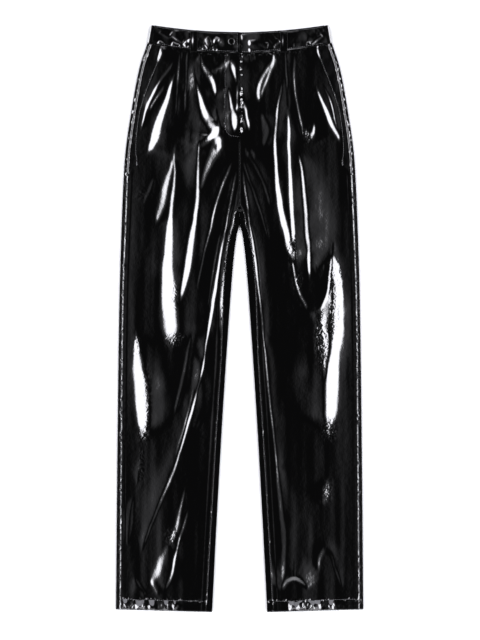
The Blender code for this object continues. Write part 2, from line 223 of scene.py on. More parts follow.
# ---------------------------------------------------------------- creases, in millimetres
# Each row is one flank of a fold: its name, the side that it slopes down to (the wearer's right or left), its
# slope (or its slopes from one end to the other), its widths likewise, and the line along its middle. A last
# number, where there is one, is the way over which the fold falls back to the cloth behind its flank.
CREASES = (
    # the wearer's right hip and pocket
    ("right pocket, upper thread", "right", (0.18, 0.22, 0.22, 0.2), (1, 2, 2, 3, 3, 3, 2, 1), (
        (-119, 479), (-134, 457), (-150, 436), (-163, 411), (-171, 394), (-177, 374), (-181, 358),
        (-185, 345))),
    ("right pocket, inner thread", "left", 0.2, (1, 3, 4, 2), (
        (-139, 430), (-149, 416), (-160, 399), (-168, 384))),
    ("right pocket, broad fold", "right", (0.16, 0.2, 0.21, 0.21), (1, 3, 6, 9, 11, 12, 13, 9, 2), (
        (-118, 460), (-128, 429), (-136, 400), (-144, 380), (-151, 358), (-158, 333), (-166, 314),
        (-174, 298))),
    ("right hip, at the waist", "right", 0.2, (5, 7, 2), ((-147, 505), (-148, 488), (-152, 474))),
    ("right pleat, outer edge", "right", 0.18, (2, 2, 1), (
        (-110, 500), (-113, 460), (-116, 420), (-118, 370))),
    ("right pleat, inner edge", "left", 0.17, (2, 3, 1), (
        (-97, 500), (-98, 460), (-100, 420), (-102, 380))),
    ("right waist wedge", "left", 0.23, (1, 3, 8, 9, 7, 1), (
        (-73, 492), (-66, 465), (-56, 450), (-49, 436), (-46, 423), (-44, 408))),
    ("right waist, crescent", "right", 0.19, (1, 3, 3, 3, 1), (
        (-82, 482), (-68, 473), (-54, 469), (-42, 469), (-36, 473))),
    ("right waist, upper crescent", "right", 0.17, (1, 2, 2, 1), (
        (-76, 488), (-64, 483), (-50, 481), (-38, 483))),
    ("right fly, from the wedge", "left", 0.2, (1, 2, 2, 1), (
        (-44, 392), (-40, 371), (-36, 352), (-27, 345))),
    # the wearer's right thigh
    ("pleat fold, upper", "left", (0.2, 0.24, 0.25, 0.28, 0.32, 0.34), (1, 1, 3, 7, 12, 15, 13), (
        (-85, 476), (-82, 446), (-75, 416), (-67, 388), (-57, 367), (-46, 351), (-36, 340)), 55),
    ("crotch glow", "left", (0.24, 0.21, 0.19, 0.17, 0.16), (10, 15, 17, 13, 9, 6, 2), (
        (-37, 342), (-41, 324), (-47, 306), (-54, 291), (-60, 277), (-66, 260), (-73, 234)), 60),
    ("crotch hook", "right", 0.2, (1, 4, 1), ((-50, 322), (-41, 314), (-32, 318))),
    ("thigh, inner flank", "left", 0.23, (2, 3, 5, 6, 7, 7, 10, 11, 12, 7, 1), (
        (-74, 345), (-76, 310), (-77, 260), (-78, 216), (-82, 190), (-88, 151), (-93, 118), (-98, 86),
        (-104, 58), (-108, 38), (-111, 20))),
    ("thigh, outer flank", "right", 0.2, (2, 3, 4, 6, 7, 11, 14, 18, 23, 27, 28, 18), (
        (-117, 340), (-121, 300), (-120, 268), (-125, 216), (-130, 164), (-133, 112), (-134, 74),
        (-134, 40), (-131, 12), (-128, -10), (-127, -34), (-126, -64)), 65),
    ("thigh, gray fold", "right", 0.14, (2, 5, 9, 11, 10, 9, 2), (
        (-124, 302), (-127, 280), (-134, 258), (-139, 236), (-146, 206), (-151, 190), (-157, 174))),
    ("thigh, faint fold", "right", 0.09, (2, 5, 2), ((-158, 262), (-167, 240), (-178, 214))),
    # drag lines from the crotch to the right hem
    ("drag line, long", "left", (0.2, 0.23, 0.24, 0.24, 0.24), (1, 2, 2, 3, 4, 4, 3, 3), (
        (-4, 288), (-14, 232), (-25, 172), (-35, 116), (-42, 74), (-50, 22), (-59, -30), (-67, -84))),
    ("drag line, whole leg", "left", (0.24, 0.24, 0.23, 0.22, 0.21, 0.2, 0.19),
        (3, 3, 3, 4, 4, 3, 4, 5, 5, 4, 3, 1), (
        (-60, -40), (-72, -108), (-80, -137), (-87, -167), (-94, -190), (-104, -226), (-113, -256),
        (-127, -294), (-141, -326), (-153, -355), (-164, -382), (-173, -408), (-186, -448))),
    ("drag line, beside", "right", 0.16, (1, 2, 3, 2, 1), (
        (-84, -123), (-92, -158), (-101, -195), (-111, -228), (-121, -262))),
    ("drag line, upper", "left", (0.2, 0.22, 0.22, 0.2), (2, 3, 3, 2, 2, 1), (
        (-8, 300), (-26, 262), (-40, 222), (-54, 166), (-67, 114), (-80, 50))),
    ("drag line, inner", "right", 0.16, (1, 2, 3, 2, 1), (
        (-33, 165), (-41, 132), (-47, 96), (-53, 60), (-60, 15))),
    ("drag line, faint", "right", 0.1, (2, 4, 5, 2), ((-88, -20), (-96, -60), (-106, -110), (-122, -180))),
    # the wearer's right knee and shin
    ("right knee", "right", 0.2, (2, 6, 12, 16, 20, 21, 21, 18, 12, 4), (
        (-192, -12), (-191, -40), (-190, -68), (-189, -96), (-185, -124), (-182, -152), (-181, -176),
        (-180, -198), (-179, -216), (-178, -232)), 32),
    ("right knee, trailing", "left", 0.13, (2, 3, 1), ((-181, -262), (-184, -280), (-189, -306))),
    ("shin, crumpled", "right", 0.125, (1, 4, 6, 6, 4), (
        (-100, -312), (-106, -336), (-113, -366), (-122, -400), (-132, -420))),
    ("shin, lozenge", "right", (0.09, 0.11, 0.11, 0.1), (3, 9, 13, 14, 10, 3), (
        (-132, -416), (-139, -434), (-146, -450), (-153, -466), (-159, -480), (-166, -494))),
    ("shin, long line", "left", (0.17, 0.2, 0.2, 0.2), (1, 2, 3, 3, 4, 5, 3), (
        (-94, -350), (-104, -384), (-113, -414), (-120, -444), (-125, -472), (-133, -493), (-141, -508))),
    ("shin, faint outer", "left", 0.1, (3, 8, 3), ((-196, -330), (-200, -370), (-206, -420))),
    ("shin, faint inner", "right", 0.06, (6, 18, 6), ((-85, -60), (-80, -130), (-86, -210))),
    ("right hem, first fan", "right", 0.12, (3, 5, 1), ((-152, -512), (-157, -500), (-166, -480))),
    ("right hem, second fan", "left", 0.16, (3, 4, 1), ((-172, -512), (-180, -500), (-196, -478))),
    # the fly
    ("fly, upper triangle", "left", 0.22, (2, 9, 4, 1), ((-18, 480), (-12, 464), (-9, 452), (-5, 436))),
    ("fly, left thread", "left", 0.23, (2, 5, 4, 6, 12, 10, 1), (
        (-21, 430), (-18, 410), (-16, 395), (-13, 383), (-10, 371), (-9, 358), (-9, 344))),
    ("fly, right thread", "right", 0.2, (1, 2, 2, 3), ((-4, 432), (-5, 410), (-5, 395), (-6, 383))),
    # the wearer's left front, beside the fly
    ("left fly, bright hook", "left", 0.23, (2, 6, 5, 4, 2), (
        (6, 402), (11, 388), (13, 373), (17, 358), (19, 347))),
    ("left fly, second hook", "right", 0.18, (1, 3, 1), ((3, 376), (8, 364), (13, 352))),
    ("left waist, crescent", "right", 0.21, (2, 4, 2), ((6, 484), (18, 477), (31, 482))),
    ("left waist loop, outer", "left", 0.23, (3, 4, 5, 7, 7, 8, 2), (
        (66, 494), (61, 475), (50, 459), (41, 443), (35, 427), (34, 414), (38, 400))),
    ("left waist loop, inner", "left", 0.19, (2, 4, 4, 5, 3), (
        (70, 484), (59, 462), (51, 443), (43, 423), (39, 406))),
    ("left soft blob", "right", 0.11, (4, 12, 4), ((40, 380), (48, 350), (44, 318))),
    # the wearer's left thigh
    ("left front, long streak", "right", 0.23, (1, 3, 4, 6, 6, 5, 6, 7, 9, 11, 9, 11, 3), (
        (80, 456), (77, 425), (70, 390), (67, 358), (65, 330), (67, 294), (69, 255), (75, 210), (82, 177),
        (87, 157), (90, 138), (97, 120), (104, 90))),
    ("left front, second streak", "left", 0.21, (1, 3, 4, 4, 6, 7, 6, 2), (
        (89, 392), (91, 355), (91, 320), (93, 275), (95, 229), (97, 186), (99, 156), (98, 130))),
    ("left pleat, edge", "right", 0.2, (2, 2, 1), ((84, 500), (86, 460), (88, 420), (90, 388))),
    ("left pleat, bright thread", "left", 0.18, (1, 2, 2, 2, 3, 2), (
        (102, 492), (101, 440), (105, 405), (110, 378), (115, 356), (121, 332))),
    ("left pleat, hook", "left", 0.19, (2, 6, 3), ((121, 331), (132, 336), (139, 362))),
    ("left thigh, streak", "right", 0.26, (1, 4, 6, 7, 8, 8, 7, 5, 2), (
        (107, 316), (113, 287), (117, 255), (120, 222), (123, 190), (125, 155), (127, 128), (128, 104),
        (130, 68))),
    ("left pocket, inner line", "left", 0.21, (1, 4, 6, 7, 7, 2), (
        (140, 430), (151, 405), (161, 382), (171, 358), (181, 341), (188, 326))),
    ("left pocket, outer line", "right", 0.21, (1, 3, 3, 3, 1), (
        (154, 432), (165, 410), (172, 388), (178, 362), (183, 344))),
    ("left hip, at the waist", "left", 0.2, (3, 4, 1), ((144, 508), (145, 494), (150, 480))),
    # the hooked fold and the wearer's left knee
    ("hooked fold, inner side", "left", 0.22, (2, 3, 3, 3), ((98, 112), (104, 68), (115, 38), (127, 17))),
    ("hooked fold, outer side", "right", 0.24, (3, 3, 3, 3, 1), (
        (127, 17), (142, 11), (158, 34), (167, 85), (174, 148))),
    ("left knee, outer side", "left", 0.22,
        (2, 4, 6, 12, 13, 12, 9, 11, 13, 15, 16, 14, 16, 22, 23, 22, 20, 18, 12, 3), (
        (173, 148), (171, 122), (177, 99), (179, 84), (183, 66), (185, 46), (185, 24), (184, 2), (183, -17),
        (180, -34), (177, -54), (174, -76), (172, -98), (171, -120), (171, -142), (170, -164), (168, -186),
        (165, -204), (162, -222))),
    ("left knee, inner side", "right", (0.22, 0.24, 0.24, 0.22, 0.2, 0.2, 0.18),
        (2, 6, 11, 14, 14, 12, 11, 10, 9, 8, 7, 5, 2), (
        (173, 70), (169, 50), (164, 33), (160, 20), (157, 6), (156, -6), (157, -20), (159, -36), (160, -52),
        (160, -66), (159, -82), (158, -104), (156, -128)), 22),
    # the long line down the wearer's left leg
    ("inner line, upper", "right", 0.25, (1, 2, 2, 3, 3, 3, 3, 2), (
        (4, 290), (12, 226), (20, 168), (28, 110), (33, 66), (38, 34), (42, -14), (46, -60))),
    ("inner line, knee", "right", (0.22, 0.2, 0.19, 0.18, 0.17), (2, 3, 3, 3, 3, 4), (
        (42, -22), (49, -80), (54, -135), (60, -190), (65, -236), (70, -290))),
    ("inner line, lower", "right", (0.15, 0.135, 0.125, 0.115), (3, 5, 7, 8, 8, 8, 7, 3), (
        (67, -262), (73, -318), (76, -352), (80, -386), (82, -420), (81, -450), (80, -476), (78, -496))),
    ("inner thigh, short", "right", 0.16, (1, 2, 2, 1), ((6, 196), (9, 172), (13, 148), (19, 96))),
    ("left hem, inner crescent", "left", (0.14, 0.22, 0.27, 0.22, 0.14), (3, 7, 8, 7, 3), (
        (77, -503), (85, -488), (101, -480), (116, -488), (127, -502)), 25),
    ("left hem, outer crescent", "right", 0.12, (3, 5, 6, 4, 3, 2), (
        (146, -470), (149, -440), (158, -428), (168, -436), (175, -460), (192, -500))),
    # lumps in the turned-up hems
    ("right hem, lump 1", "left", 0.22, (4, 7, 5), ((-209, -525), (-207, -532), (-208, -540))),
    ("right hem, lump 2", "right", 0.2, (4, 6, 3), ((-192, -526), (-191, -532), (-189, -539))),
    ("right hem, lump 3", "left", 0.22, (3, 6, 4), ((-180, -525), (-178, -532), (-179, -539))),
    ("right hem, lump 4", "right", 0.2, (3, 5, 4), ((-167, -527), (-168, -533), (-166, -540))),
    ("right hem, lump 5", "left", 0.22, (3, 6, 3), ((-135, -525), (-133, -532), (-134, -539))),
    ("right hem, lump 6", "right", 0.2, (3, 5, 3), ((-122, -526), (-123, -532), (-121, -539))),
    ("left hem, lump 1", "right", 0.22, (3, 6, 4), ((91, -525), (93, -532), (92, -540))),
    ("left hem, lump 2", "left", 0.22, (4, 8, 5), ((106, -525), (108, -532), (106, -540))),
    ("left hem, lump 3", "right", 0.2, (3, 6, 3), ((131, -526), (132, -532), (134, -539))),
    ("left hem, lump 4", "left", 0.2, (3, 5, 3), ((149, -526), (148, -532), (149, -539))),
    ("left hem, lump 5", "right", 0.2, (3, 5, 3), ((166, -526), (165, -532), (167, -539))),
    ("left shin, patch", "left", 0.085, (4, 13, 6), ((164, -296), (160, -322), (155, -346))),
    # fans from the fork
    ("fork fan, right", "left", 0.16, (1, 2, 2, 1), ((-2, 250), (-10, 190), (-18, 140), (-24, 100))),
    ("fork fan, left", "right", 0.17, (1, 3, 3, 2, 1), (
        (5, 300), (16, 262), (30, 222), (44, 180), (54, 140))),
    ("fork fan, left, upper", "right", 0.15, (1, 3, 4, 2), ((10, 312), (26, 286), (44, 250), (58, 206))),
    ("fork hook, left", "left", 0.18, (1, 3, 1), ((10, 316), (22, 310), (28, 296))),
)
# The waistband's own, in the same form.
BAND_CREASES = (
    ("right end, top", "left", 0.2, (1, 2, 2, 1), ((-160, 534), (-150, 536), (-141, 536), (-133, 535))),
    ("right, diagonal", "right", 0.22, (2, 3, 3, 2), ((-131, 525), (-124, 520), (-114, 514), (-104, 508))),
    ("right, faint diagonal", "right", (0.1, 0.14, 0.12), (2, 3, 3), (
        (-150, 529), (-138, 522), (-128, 517))),
    ("right, first lump", "left", 0.22, (2, 4, 2), ((-148, 515), (-143, 511), (-138, 509))),
    ("right, second lump", "left", 0.22, (2, 3, 3, 2), ((-124, 512), (-117, 508), (-110, 507))),
    ("right, third lump", "right", 0.22, (2, 4, 2), ((-105, 508), (-101, 504), (-97, 500))),
    ("right, scallop 1", "left", 0.22, (2, 2, 2), ((-79, 499), (-75, 502), (-71, 499))),
    ("right, scallop 2", "right", 0.22, (2, 3, 2), ((-70, 498), (-66, 502), (-62, 499))),
    ("right, scallop 3", "left", 0.22, (2, 3, 2), ((-60, 498), (-56, 501), (-51, 498))),
    ("right, scallop 4", "right", 0.22, (2, 3, 2), ((-50, 497), (-46, 500), (-41, 497))),
    ("right, star 1", "left", 0.22, (1, 3, 2), ((-58, 523), (-54, 515), (-50, 506))),
    ("right, star 2", "right", 0.22, (1, 3, 2), ((-43, 522), (-46, 515), (-51, 508))),
    ("right, star 3", "left", 0.18, (1, 2, 2), ((-37, 519), (-41, 512), (-47, 509))),
    ("right, beside the star", "left", 0.16, (1, 2, 1), ((-75, 520), (-71, 511), (-66, 503))),
    ("right, at the loop", "right", 0.22, (2, 3, 2), ((-95, 516), (-93, 508), (-93, 502))),
    ("fly end, top", "right", 0.16, (2, 3, 2), ((3, 526), (4, 520), (4, 515))),
    ("fly end, middle", "left", 0.16, (2, 3, 2), ((3, 508), (4, 504), (4, 500))),
    ("left, first spot", "right", 0.2, (2, 3, 2), ((17, 514), (18, 510), (18, 506))),
    ("left, second spot", "right", 0.2, (2, 3, 2), ((18, 500), (18, 496), (19, 492))),
    ("left, upright", "left", 0.2, (2, 3, 2), ((53, 511), (52, 504), (50, 498))),
    ("left, hook", "left", 0.22, (2, 3, 3, 1), ((76, 512), (70, 508), (64, 504), (66, 499))),
    ("left, third spot", "right", 0.18, (2, 3, 2), ((100, 509), (101, 505), (101, 501))),
    ("left, fourth spot", "right", 0.18, (2, 3, 2), ((123, 511), (124, 507), (124, 503))),
    ("left end, lower", "left", 0.22, (2, 4, 4, 2), ((131, 505), (139, 511), (147, 517), (155, 523))),
    ("left end, upper", "left", 0.2, (1, 3, 1), ((143, 524), (150, 529), (157, 532))),
    ("left, top line", "left", 0.16, (1, 2, 1), ((108, 532), (126, 535), (140, 536))),
)
# Where the lacquer is crushed into small facets: centre, half widths, depth.
CRUSHED = (
    ("right knee, top", (-190, -50), (8, 18), 1.0),
    ("right knee, rim", (-172, -150), (8, 60), 0.8),
    ("right knee, end", (-176, -214), (12, 16), 1.0),
    ("right shin, trail", (-182, -272), (5, 30), 0.7),
    ("right thigh, end", (-120, -40), (18, 14), 0.9),
    ("right thigh, notch", (-121, 42), (8, 26), 0.6),
    ("right shin, diagonal", (-126, -402), (12, 16), 0.9),
    ("left thigh, end", (97, 128), (9, 28), 1.0),
    ("left thigh, last", (108, 70), (9, 20), 0.8),
    ("left pleat, hook", (125, 338), (10, 12), 0.9),
    ("left knee, top", (176, 70), (12, 38), 1.1),
    ("left knee, inner rim", (152, -40), (12, 52), 1.3),
    ("left knee, slit", (173, 0), (9, 46), 1.1),
    ("left knee, end", (165, -206), (14, 20), 1.1),
    ("left shin, patch", (162, -320), (10, 22), 0.8),
    ("right hip", (-178, 230), (18, 14), 0.4),
    ("right hem", (-192, -531), (30, 7), 1.3),
    ("right hem, middle", (-126, -531), (14, 6), 1.1),
    ("left hem", (117, -532), (26, 7), 1.3),
    ("left hem, outer", (170, -532), (30, 6), 0.8),
)
FALL_SLOPE = 0.055       # how steeply a fold falls back to the cloth behind its flank
LONGEST_FALL = 0.045     # and over how long a way at most
STEEPEST_END = 0.14      # how steeply a long fold runs out at its ends


def rounded_path(points, step=0.005):
    """Points along a smooth line through the given ones, close together, and how far along it each is."""
    points = np.array(points, float) * MM
    lengths = np.concatenate(([0], np.cumsum(np.linalg.norm(np.diff(points, axis=0), axis=1))))
    along = np.linspace(0, lengths[-1], max(5, round(lengths[-1] / step)))
    read = [curve_through(lengths, values, np.gradient(values, lengths)) for values in points.T]
    return np.stack([axis(along) for axis in read], axis=1), along / lengths[-1]


def signed_distance(x, y, line, along):
    """How far points lie from a line, positive on its left as one walks it, and how far along it they are."""
    best = np.full(x.shape, np.inf)
    signed = np.zeros(x.shape)
    place = np.zeros(x.shape)
    for i in range(len(line) - 1):
        run = line[i + 1] - line[i]
        length = np.linalg.norm(run)
        dx, dy = x - line[i][0], y - line[i][1]
        t = np.clip((dx * run[0] + dy * run[1]) / length**2, 0, 1)
        away = np.hypot(dx - t * run[0], dy - t * run[1])
        nearer = away < best
        best = np.where(nearer, away, best)
        turn = np.sign(run[0] * dy - run[1] * dx)
        signed = np.where(nearer, turn * away, signed)
        place = np.where(nearer, mix(along[i], along[i + 1], t), place)
    return signed, place


def soft_ramp(t):
    """0 below zero and t above it, with a round corner one unit wide."""
    return np.logaddexp(0.0, t)


def crease_height(x, y, folds, rows):
    """Height that the rows' creases add, at arrays of true x and y."""
    total = np.zeros(x.shape)
    for number, (_name, falls_to, slopes, widths, path, *fall) in enumerate(rows):
        line, along = rounded_path(path)
        reach = max(widths) * MM * (2.2 * np.max(slopes) / FALL_SLOPE + 1.5)
        near = (x > line[:, 0].min() - reach) & (x < line[:, 0].max() + reach)
        near &= (y > line[:, 1].min() - reach) & (y < line[:, 1].max() + reach)
        if not near.any():
            continue
        away, place = signed_distance(x[near], y[near], line, along)
        heading = 1 if line[-1, 1] < line[0, 1] else -1
        away = away * heading * (1 if falls_to == "right" else -1)
        length = np.linalg.norm(np.diff(line, axis=0), axis=1).sum()
        tallest = 0.9 * np.max(slopes) * max(widths) * MM
        share = np.clip(1.5 * tallest / (STEEPEST_END * length), 0.10, 0.24) if length > 0.150 else 0.10
        ends = ease(place / share) * ease((1 - place) / share)
        width = np.interp(place, np.linspace(0, 1, len(widths)), widths) * MM * (0.3 + 0.7 * ends)
        width = width * (1 + 0.10 * ripple(x[near], y[near], 0.030, number))
        away = away + 0.0006 * ripple(x[near], y[near], 0.020, number + 40) + width / 2
        corner = np.maximum(0.00040, 0.11 * width)
        rise = corner * (soft_ramp(away / corner) - soft_ramp((away - width) / corner))
        slope = np.interp(place, np.linspace(0, 1, np.size(slopes)), np.atleast_1d(slopes))
        lean = 0.9 * slope * (1 + 0.10 * ripple(x[near], y[near], 0.045, number + 80)) * ends
        falling = fall[0] * MM if fall else np.minimum(slope * width / FALL_SLOPE + 0.001, LONGEST_FALL)
        behind = np.maximum(away - width, 0) / falling
        fading = mix(1.0, ease(place / 0.32) * ease((1 - place) / 0.32), ease(behind / 1.3))
        total[near] += lean * rise * fading * np.exp(-(behind**2))
    return total * folds.crease_height


def soft_waves(x, y):
    """The sheet's own slow waves, long down the leg and short across it."""
    long_waves = 0.00019 * ripple(x, 0.14 * y, 0.020, 1) + 0.0004 * ripple(x, 0.4 * y, 0.075, 2)
    return long_waves + 0.00010 * ripple(x, 0.12 * y, 0.010, 3)


def crushed(x, y):
    """How much the lacquer is crushed, about 0 to 1."""
    total = np.zeros(x.shape)
    for _name, centre, half, depth in CRUSHED:
        u = (x - centre[0] * MM) / (half[0] * MM)
        v = (y - centre[1] * MM) / (half[1] * MM)
        total = np.maximum(total, depth * np.exp(-((u * u + v * v) ** 1.5)))
    return total


def sewn(x, y):
    """How much the leather puckers at a point of a leg, 0 to 1: by its distance from each line of sewing."""
    station = station_of(x, y)
    across = np.abs(x)

    def close(distance, reach):
        return np.exp(-((distance / reach) ** 2))

    side = close(across - side_seam(station), 0.0030) * mix(0.15, 0.45, ease((station - 0.20) / 0.12))
    inner = close(across - inseam(station), 0.0026) * (station < 0.205) * 0.15
    mouth = close(across - POCKET_MOUTH(station) + MOUTH_STITCH_IN, 0.0022) * (station > POCKET_END) * 0.12
    above = ease((station - FLY_END) / 0.015)
    fly = close(x + FLY_WIDTH - FLY_STITCH_IN, 0.0016) * above * 0.15
    edge = close(x - 0.0036, 0.0020) * above * 0.6
    hem = close(station - HEM - 0.0200, 0.0022) * 0.4
    waist = close(waist_seam(x) - y - 0.002, 0.0045) * 0.15
    return np.max([side, inner, mouth, fly, edge, hem, waist], axis=0)


# ---------------------------------------------------------------- heights
def base(station):
    return WAIST_LIFT * ease((station - 0.400) / 0.060)


def outer_reach(station):
    return np.minimum(ROLL_REACH, SIDE_SEAM_IN(station) - 0.0010)


def inner_reach(station):
    return mix(ROLL_REACH, 0.0030, ease((station - 0.120) / 0.060))


def roundness(inside, reach):
    """1 on the flat, falling to 0 on a quarter ellipse at the edge."""
    return np.sqrt(np.clip(1 - (1 - np.clip(inside / reach, 0, 1)) ** 2, 0, 1))


def fly_lap(x, y):
    """The lapped fly on the right front, whose lower end is round."""
    across = ease((x + FLY_WIDTH) / 0.011)
    corner = np.hypot(np.maximum(-x - 0.010, 0) / 0.018, np.maximum(FLY_END + 0.022 - y, 0) / 0.022)
    lap = 0.00030 * across * ease((1.03 - corner) / 0.25)
    return np.where((y > FLY_END - 0.002) & (x <= 0), lap, 0.0)


def skin(x, station):
    """The front's upper face without its creases."""
    to_side = outline(station) - np.abs(x)
    above = ease((station - 0.190) / (FORK_TOP - 0.190))
    crown = roundness(to_side, outer_reach(station))
    crown = crown * mix(roundness(np.abs(x) - INNER_EDGE(station), inner_reach(station)), 1.0, above)
    return base(station) + 0.5 * EDGE_LOFT * (1 + crown)


ALLOWANCE = 0.0085            # a seam's allowance, up to where its edge shows through, and how high that is
ALLOWANCE_HEIGHT = 0.00016
CREASES_END = 0.022, 0.007    # creases die out over these widths at the side seam and at the inseam
WAVES_END = 0.030, 0.025      # and the sheet's slow waves over these


def allowance_step(from_seam):
    """A seam's allowance shows through the leather as a low step."""
    return ALLOWANCE_HEIGHT * (1 - ease((from_seam - ALLOWANCE) / 0.0024)) * ease(from_seam / 0.003)


def top(x, station, folds):
    """The front's upper face, creases included. They die out at the side seam and the inseam."""
    y = settled(x, station)
    from_side = side_seam(station) - np.abs(x)
    from_inseam = np.abs(x) - inseam(station)
    above = ease((station - 0.190) / 0.040)

    def fade(side, inner):
        return ease(from_side / side) * mix(ease(from_inseam / inner), 1.0, above)

    near_waist = mix(0.6, 1.0, ease((waist_seam(x) - y) / 0.012))
    raised = fade(*CREASES_END) * crease_height(x, y, folds, CREASES) + fade(*WAVES_END) * soft_waves(x, y)
    raised = near_waist * raised
    steps = allowance_step(from_side) * ease((POCKET_END - station) / 0.02)
    steps = steps + allowance_step(from_inseam) * (1 - above)
    seam_dip = 0.00012 * np.exp(-((x / 0.0014) ** 2)) * above * ease((FLY_END - y) / 0.01)
    drawn_in = mix(0.00009, 0.00018, ease((station - 0.05) / 0.30)) * (0.75 + 0.5 * ripple(x, y, 0.009, 12))
    seam_dip = seam_dip + drawn_in * np.exp(-((from_side / 0.0016) ** 2))
    seam_dip = seam_dip + 0.6 * drawn_in * np.exp(-((from_inseam / 0.0014) ** 2)) * (1 - above)
    return skin(x, station) + raised + steps - seam_dip + fly_lap(x, y)


# ---------------------------------------------------------------- settings
class TrouserCloth(bpy.types.PropertyGroup):
    wall: bpy.props.FloatProperty(
        name="Leather", description="Thickness of the patent leather with its backing",
        default=0.0011, min=0.0005, max=0.003, precision=4, unit="LENGTH")
    band_wall: bpy.props.FloatProperty(
        name="Waistband", description="Thickness of the folded waistband",
        default=0.0022, min=0.001, max=0.005, precision=4, unit="LENGTH")
    hem_depth: bpy.props.FloatProperty(
        name="Hem", description="Depth of the turned-up hem",
        default=0.020, min=0.005, max=0.06, precision=4, unit="LENGTH")
    seam_gap: bpy.props.FloatProperty(
        name="Seam gap", description="Gap between two pieces at a seam",
        default=0.0003, min=0.0, max=0.001, precision=4, unit="LENGTH")
    stitch_pitch: bpy.props.FloatProperty(
        name="Stitch pitch", description="Distance from one stitch to the next",
        default=0.0036, min=0.001, max=0.01, precision=4, unit="LENGTH")
    thread_width: bpy.props.FloatProperty(
        name="Thread", description="Thickness of the sewing thread",
        default=0.0006, min=0.0002, max=0.002, precision=4, unit="LENGTH")


class TrouserFolds(bpy.types.PropertyGroup):
    crease_height: bpy.props.FloatProperty(
        name="Crease height", description="Height of the creases, as a share of the worked-out height",
        default=1.0, min=0.0, max=2.0)
    crinkle_depth: bpy.props.FloatProperty(
        name="Crinkle depth", description="Depth of the crushed facets",
        default=0.0012, min=0.0, max=0.005, precision=5, unit="LENGTH")
    pucker_depth: bpy.props.FloatProperty(
        name="Pucker depth", description="Depth of the puckers along the sewing",
        default=0.0010, min=0.0, max=0.005, precision=5, unit="LENGTH")


class TrouserFinish(bpy.types.PropertyGroup):
    patent: bpy.props.StringProperty(
        name="Patent", description="sRGB hex colour under the lacquer", default="#010101")
    backing: bpy.props.StringProperty(
        name="Backing", description="sRGB hex colour of the knit backing", default="#1A1A1C")
    thread: bpy.props.StringProperty(
        name="Thread", description="sRGB hex colour of the thread", default="#121214")
    tape: bpy.props.StringProperty(
        name="Zip tape", description="sRGB hex colour of the zip tape", default="#151517")
    lacquer_roughness: bpy.props.FloatProperty(
        name="Lacquer roughness", description="Roughness of the clear lacquer",
        default=0.035, min=0.0, max=1.0, subtype="FACTOR")


class TrouserStudio(bpy.types.PropertyGroup):
    floor: bpy.props.StringProperty(
        name="Floor", description="sRGB hex colour of the floor", default="#767676")
    softbox: bpy.props.FloatProperty(
        name="Softboxes", description="Brightness of the two long softboxes", default=26.0, min=0.0)
    end_box: bpy.props.FloatProperty(
        name="End boxes", description="Brightness of the boxes past the waist and the hems",
        default=5.0, min=0.0)
    room: bpy.props.FloatProperty(
        name="Room", description="Brightness of the room near the floor", default=0.9, min=0.0)
    lens: bpy.props.FloatProperty(
        name="Lens", description="Focal length in millimetres", default=85.0, min=10.0)


# ---------------------------------------------------------------- materials
def linear(text):
    """A colour from sRGB hex, as linear red, green, blue and alpha."""
    parts = [int(text.lstrip("#")[i:i + 2], 16) / 255 for i in (0, 2, 4)]
    return (*[((c + 0.055) / 1.055) ** 2.4 if c > 0.04045 else c / 12.92 for c in parts], 1.0)


def add_node(tree, kind, settings=(), links=()):
    """A node of that kind, its sockets or fields set by name, its inputs linked from other nodes' outputs."""
    node = tree.nodes.new(kind)
    for name, value in dict(settings).items():
        if isinstance(name, int) or name in node.inputs:
            node.inputs[name].default_value = value
        else:
            setattr(node, name, value)
    for name, (source, output) in dict(links).items():
        tree.links.new(source.outputs[output], node.inputs[name])
    return node


def add_math(tree, operation, *terms):
    """A Math node whose terms are numbers or (node, output) pairs; returns its own pair."""
    node = tree.nodes.new("ShaderNodeMath")
    node.operation = operation
    for socket, term in zip(node.inputs, terms):
        if isinstance(term, tuple):
            tree.links.new(term[0].outputs[term[1]], socket)
        else:
            socket.default_value = term
    return node, "Value"


def new_material(name):
    material = bpy.data.materials.get(name)
    if material:
        return material, None
    material = bpy.data.materials.new(name)
    material.use_nodes = True
    return material, material.node_tree.nodes["Principled BSDF"]


